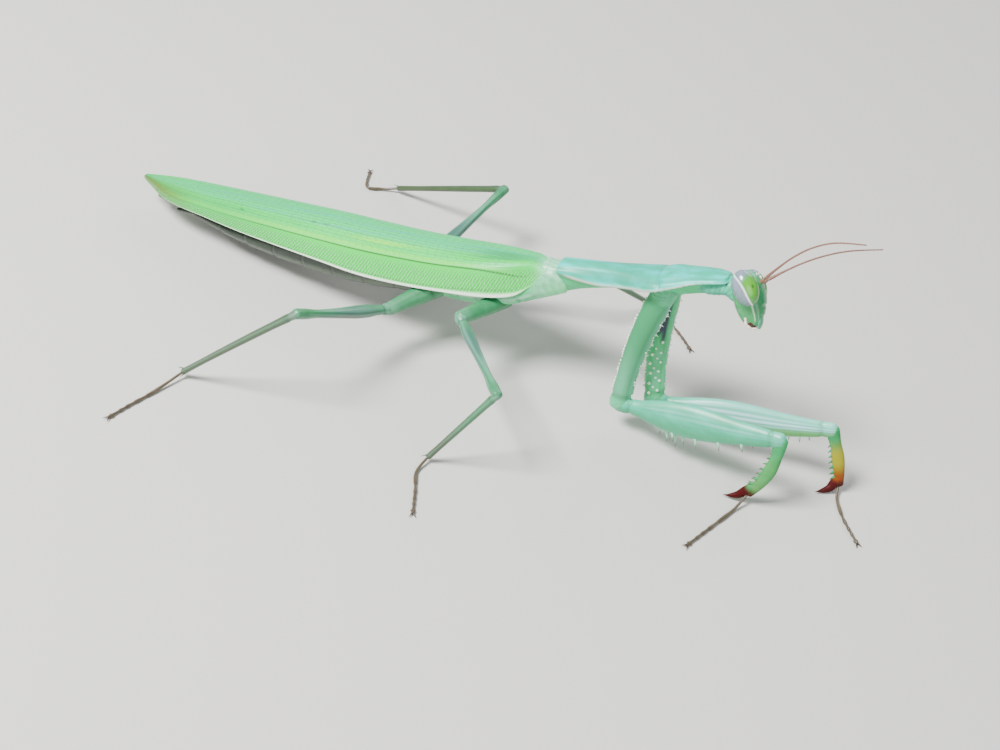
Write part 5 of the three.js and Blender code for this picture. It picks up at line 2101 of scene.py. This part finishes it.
@dataclass
class WalkingLeg(Leg):
    """A mid or hind leg: thin, ridged, and nearly bare.

    Attributes:
        knee_length: The length of the spine over the knee.
        knee_radius: Its radius at the root.
        spur_length: The length of the two spurs at the shin's end.
        spur_radius: Their radius at the root.
    """

    knee_length: float = 0.75
    knee_radius: float = 0.12
    spur_length: float = 0.95
    spur_radius: float = 0.1

    def width_way(self) -> Array:
        """The direction that the pieces' width lies along: upwards."""
        return UPWARD

    def coxa(self) -> None:
        """The hip piece, with one groove around it."""
        tube = self.tubes[0]
        toward, _ = self.facing(tube, self.ways[1])
        t = tube.t[:, None]
        shell = Shell()
        shell.add(
            tube.grid(-0.05 * bump(t, 0.2, 0.03)),
            pale=0.25 * bump(t, 1, 0.15) + 0.35 * bump(toward, -0.8, 0.15),
            dark=0.5 * bump(t, 0.2, 0.04) + 0.3 * bump(toward, 0.2, 0.4),
        )
        shell.dress(f"{self.plan.name}_coxa", WALKING_SKIN)

    def femur(self) -> None:
        """The thigh: ridged, with lengthwise streaks and a spine over the knee.

        The height around it is depth sin(turn) + width cos(turn) of the upward parts. The
        streaks are a sine of that height. The right hind thigh has the strongest bloom.
        """
        tube = self.tubes[1]
        toward, _ = self.facing(tube, self.ways[2])
        t = tube.t[:, None]
        up = tube.deep[:, 2:] * np.sin(tube.turn) + tube.across[:, 2:] * np.cos(tube.turn)
        hip = bump(t, 0.075, 0.012)
        ridges = 0.035 * bump(np.abs(toward), 0.55, 0.1) * step(t, 0.1, 0.2)
        streaks = (0.5 + 0.5 * np.sin(9 * up + 2 * np.sin(5 * t))) * (1 - step(t, 0.85, 0.97))
        bloom = 1.0 if self.plan.pair is Pair.HIND and self.plan.side is Side.RIGHT else 0.3
        shell = Shell()
        shell.add(
            tube.grid(ridges - 0.08 * hip + 0.05 * bump(t, 0.04, 0.02)),
            pale=within(0.2 * bump(t, 0.98, 0.03) + 0.4 * streaks + 0.3 * bump(t, 0.03, 0.03)),
            dark=within(0.7 * hip + 0.35 * (1 - streaks) * step(t, 0.1, 0.2)),
            dull=0.4 * step(-up, 0.2, 0.7) * bump(t, 0.5, 0.3),
            blue=0.95 * bump(t, 0.4, 0.28),
            mauve=bloom * bump(t, 0.45, 0.25) * step(0.4 - up, 0.0, 0.8),
        )
        foot = self.ends[2] - 0.35 * self.ways[1]
        way = unit(self.ways[1] + 0.25 * self.plane)
        shell.add(cone(foot, way, self.knee_length, self.knee_radius), tip=step(SPINE_RISE, 0.4, 1))
        shell.dress(f"{self.plan.name}_femur", WALKING_SKIN)

    def tibia(self) -> None:
        """The shin: dull, with two spurs at its end. A hind one is dull from the knee on."""
        least = 0.92 if self.plan.pair is Pair.HIND else 0.4
        tube = self.tubes[2]
        toward, _ = self.facing(tube, -self.ways[1])
        t = tube.t[:, None]
        shell = Shell()
        shell.add(
            tube.grid(0.03 * bump(np.abs(toward), 0.6, 0.1) - 0.05 * bump(t, 0.05, 0.015)),
            dull=least + (1 - least) * step(t, 0.25, 0.85),
            pale=0.3 * bump(t, 0.01, 0.04) + 0.3 * bump(toward, -0.7, 0.2),
            dark=0.4 * bump(t, 0.07, 0.02) + 0.35 * bump(toward, 0.1, 0.3),
        )
        for hand in (-1, 1):
            way = unit((self.ways[2] + hand * 0.45 * self.plane) * (1, 1, 0.5))
            foot = self.ends[3] + 0.2 * hand * self.plane - 0.3 * self.ways[2]
            spur = cone(foot, way, self.spur_length, self.spur_radius)
            shell.add(spur, tip=step(SPINE_RISE, 0.4, 1), dull=0.9)
        shell.dress(f"{self.plan.name}_tibia", WALKING_SKIN)


# ---------------- floor, light and camera


@dataclass(frozen=True)
class Lamp:
    """A square lamp that looks at the animal: its place and size in mm, and its power in watts."""

    name: str
    place: Numbers
    size: float
    power: float


@dataclass(frozen=True)
class Studio:
    """A plain pale floor, soft light and the camera.

    Attributes:
        place: The camera's place in the frame of the body. Right, up and back are its axes.
        near: The nearest distance that it sees, in metres.
        floor_reach: The floor's half size in metres.
        lit_height: The height of the point that the lamps look at.
    """

    place: Numbers = (27.767, -111.612, 105.993)
    right: Numbers = (0.90301, 0.39916, 0.15887)
    up: Numbers = (-0.38628, 0.59254, 0.70688)
    back: Numbers = (0.18802, -0.69969, 0.68926)
    lens: float = 50.4
    near: float = 0.01
    floor_colour: str = "#cbcac5"
    floor_reach: float = 1.5
    floor_roughness: float = 0.9
    lit_height: float = 12.0
    lamps: tuple[Lamp, ...] = (
        Lamp("key", (-150, -120, 300), 110, 3.2),
        Lamp("fill", (220, -260, 200), 260, 0.6),
        Lamp("rim", (60, 300, 220), 200, 0.55),
    )
    room_colour: str = "#eef2f4"
    room_light: float = 0.35

    def floor(self) -> None:
        """A matte pale floor, which is stage. Paper scatters light, so it has next to no gloss."""
        reach = self.floor_reach
        corners = [(-reach, -reach, 0), (reach, -reach, 0), (reach, reach, 0), (-reach, reach, 0)]
        mesh = bpy.data.meshes.new("floor")
        mesh.from_pydata(corners, [], [(0, 1, 2, 3)])
        floor = bpy.data.objects.new("floor", mesh)
        bpy.context.scene.collection.objects.link(floor)
        material = bpy.data.materials.new("matte_paper")
        material.use_nodes = True
        shader = material.node_tree.nodes["Principled BSDF"]
        shader.inputs["Base Color"].default_value = linear(self.floor_colour)
        shader.inputs["Roughness"].default_value = self.floor_roughness
        mesh.materials.append(material)
        log.info("floor: %.1f m wide", 2 * reach)

    def lights(self) -> None:
        """Large soft lamps that look at the animal, and a pale surrounding."""
        scene = bpy.context.scene
        middle = Vector((0, 0, self.lit_height * MM))
        for lamp in self.lamps:
            data = bpy.data.lights.new(lamp.name, "AREA")
            data.size = lamp.size * MM
            data.energy = lamp.power
            light = bpy.data.objects.new(lamp.name, data)
            light.location = Vector(lamp.place) * MM
            light.rotation_euler = (middle - light.location).to_track_quat("-Z", "Y").to_euler()
            scene.collection.objects.link(light)
            log.info("lamp %s: %.2f W", lamp.name, lamp.power)
        world = bpy.data.worlds.new("pale_room")
        world.use_nodes = True
        background = world.node_tree.nodes["Background"]
        background.inputs["Color"].default_value = linear(self.room_colour)
        background.inputs["Strength"].default_value = self.room_light
        scene.world = world

    def camera(self) -> None:
        """The camera, looking down on the animal's right side."""
        data = bpy.data.cameras.new("camera")
        data.lens = self.lens
        data.clip_start = self.near
        turned = Matrix((self.right, self.up, self.back)).transposed().to_4x4()
        camera = bpy.data.objects.new("camera", data)
        camera.matrix_world = Matrix.Translation((Vector(self.place) + Vector(SHIFT)) * MM) @ turned
        bpy.context.scene.collection.objects.link(camera)
        bpy.context.scene.camera = camera
        log.info("camera: %.1f mm lens", self.lens)

    def build(self) -> None:
        """Makes floor, lights and camera."""
        self.floor()
        self.lights()
        self.camera()


def main() -> None:
    """Dresses the frame and sets the stage."""
    logging.basicConfig(level=logging.INFO)
    for wing in WINGS:
        wing.build()
    Body().build()
    Head().build()
    for plan in LEGS:
        leg = GraspingLeg(plan) if plan.pair is Pair.FORE else WalkingLeg(plan)
        leg.build()
    Studio().build()
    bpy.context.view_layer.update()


if __name__ == "__main__":
    main()
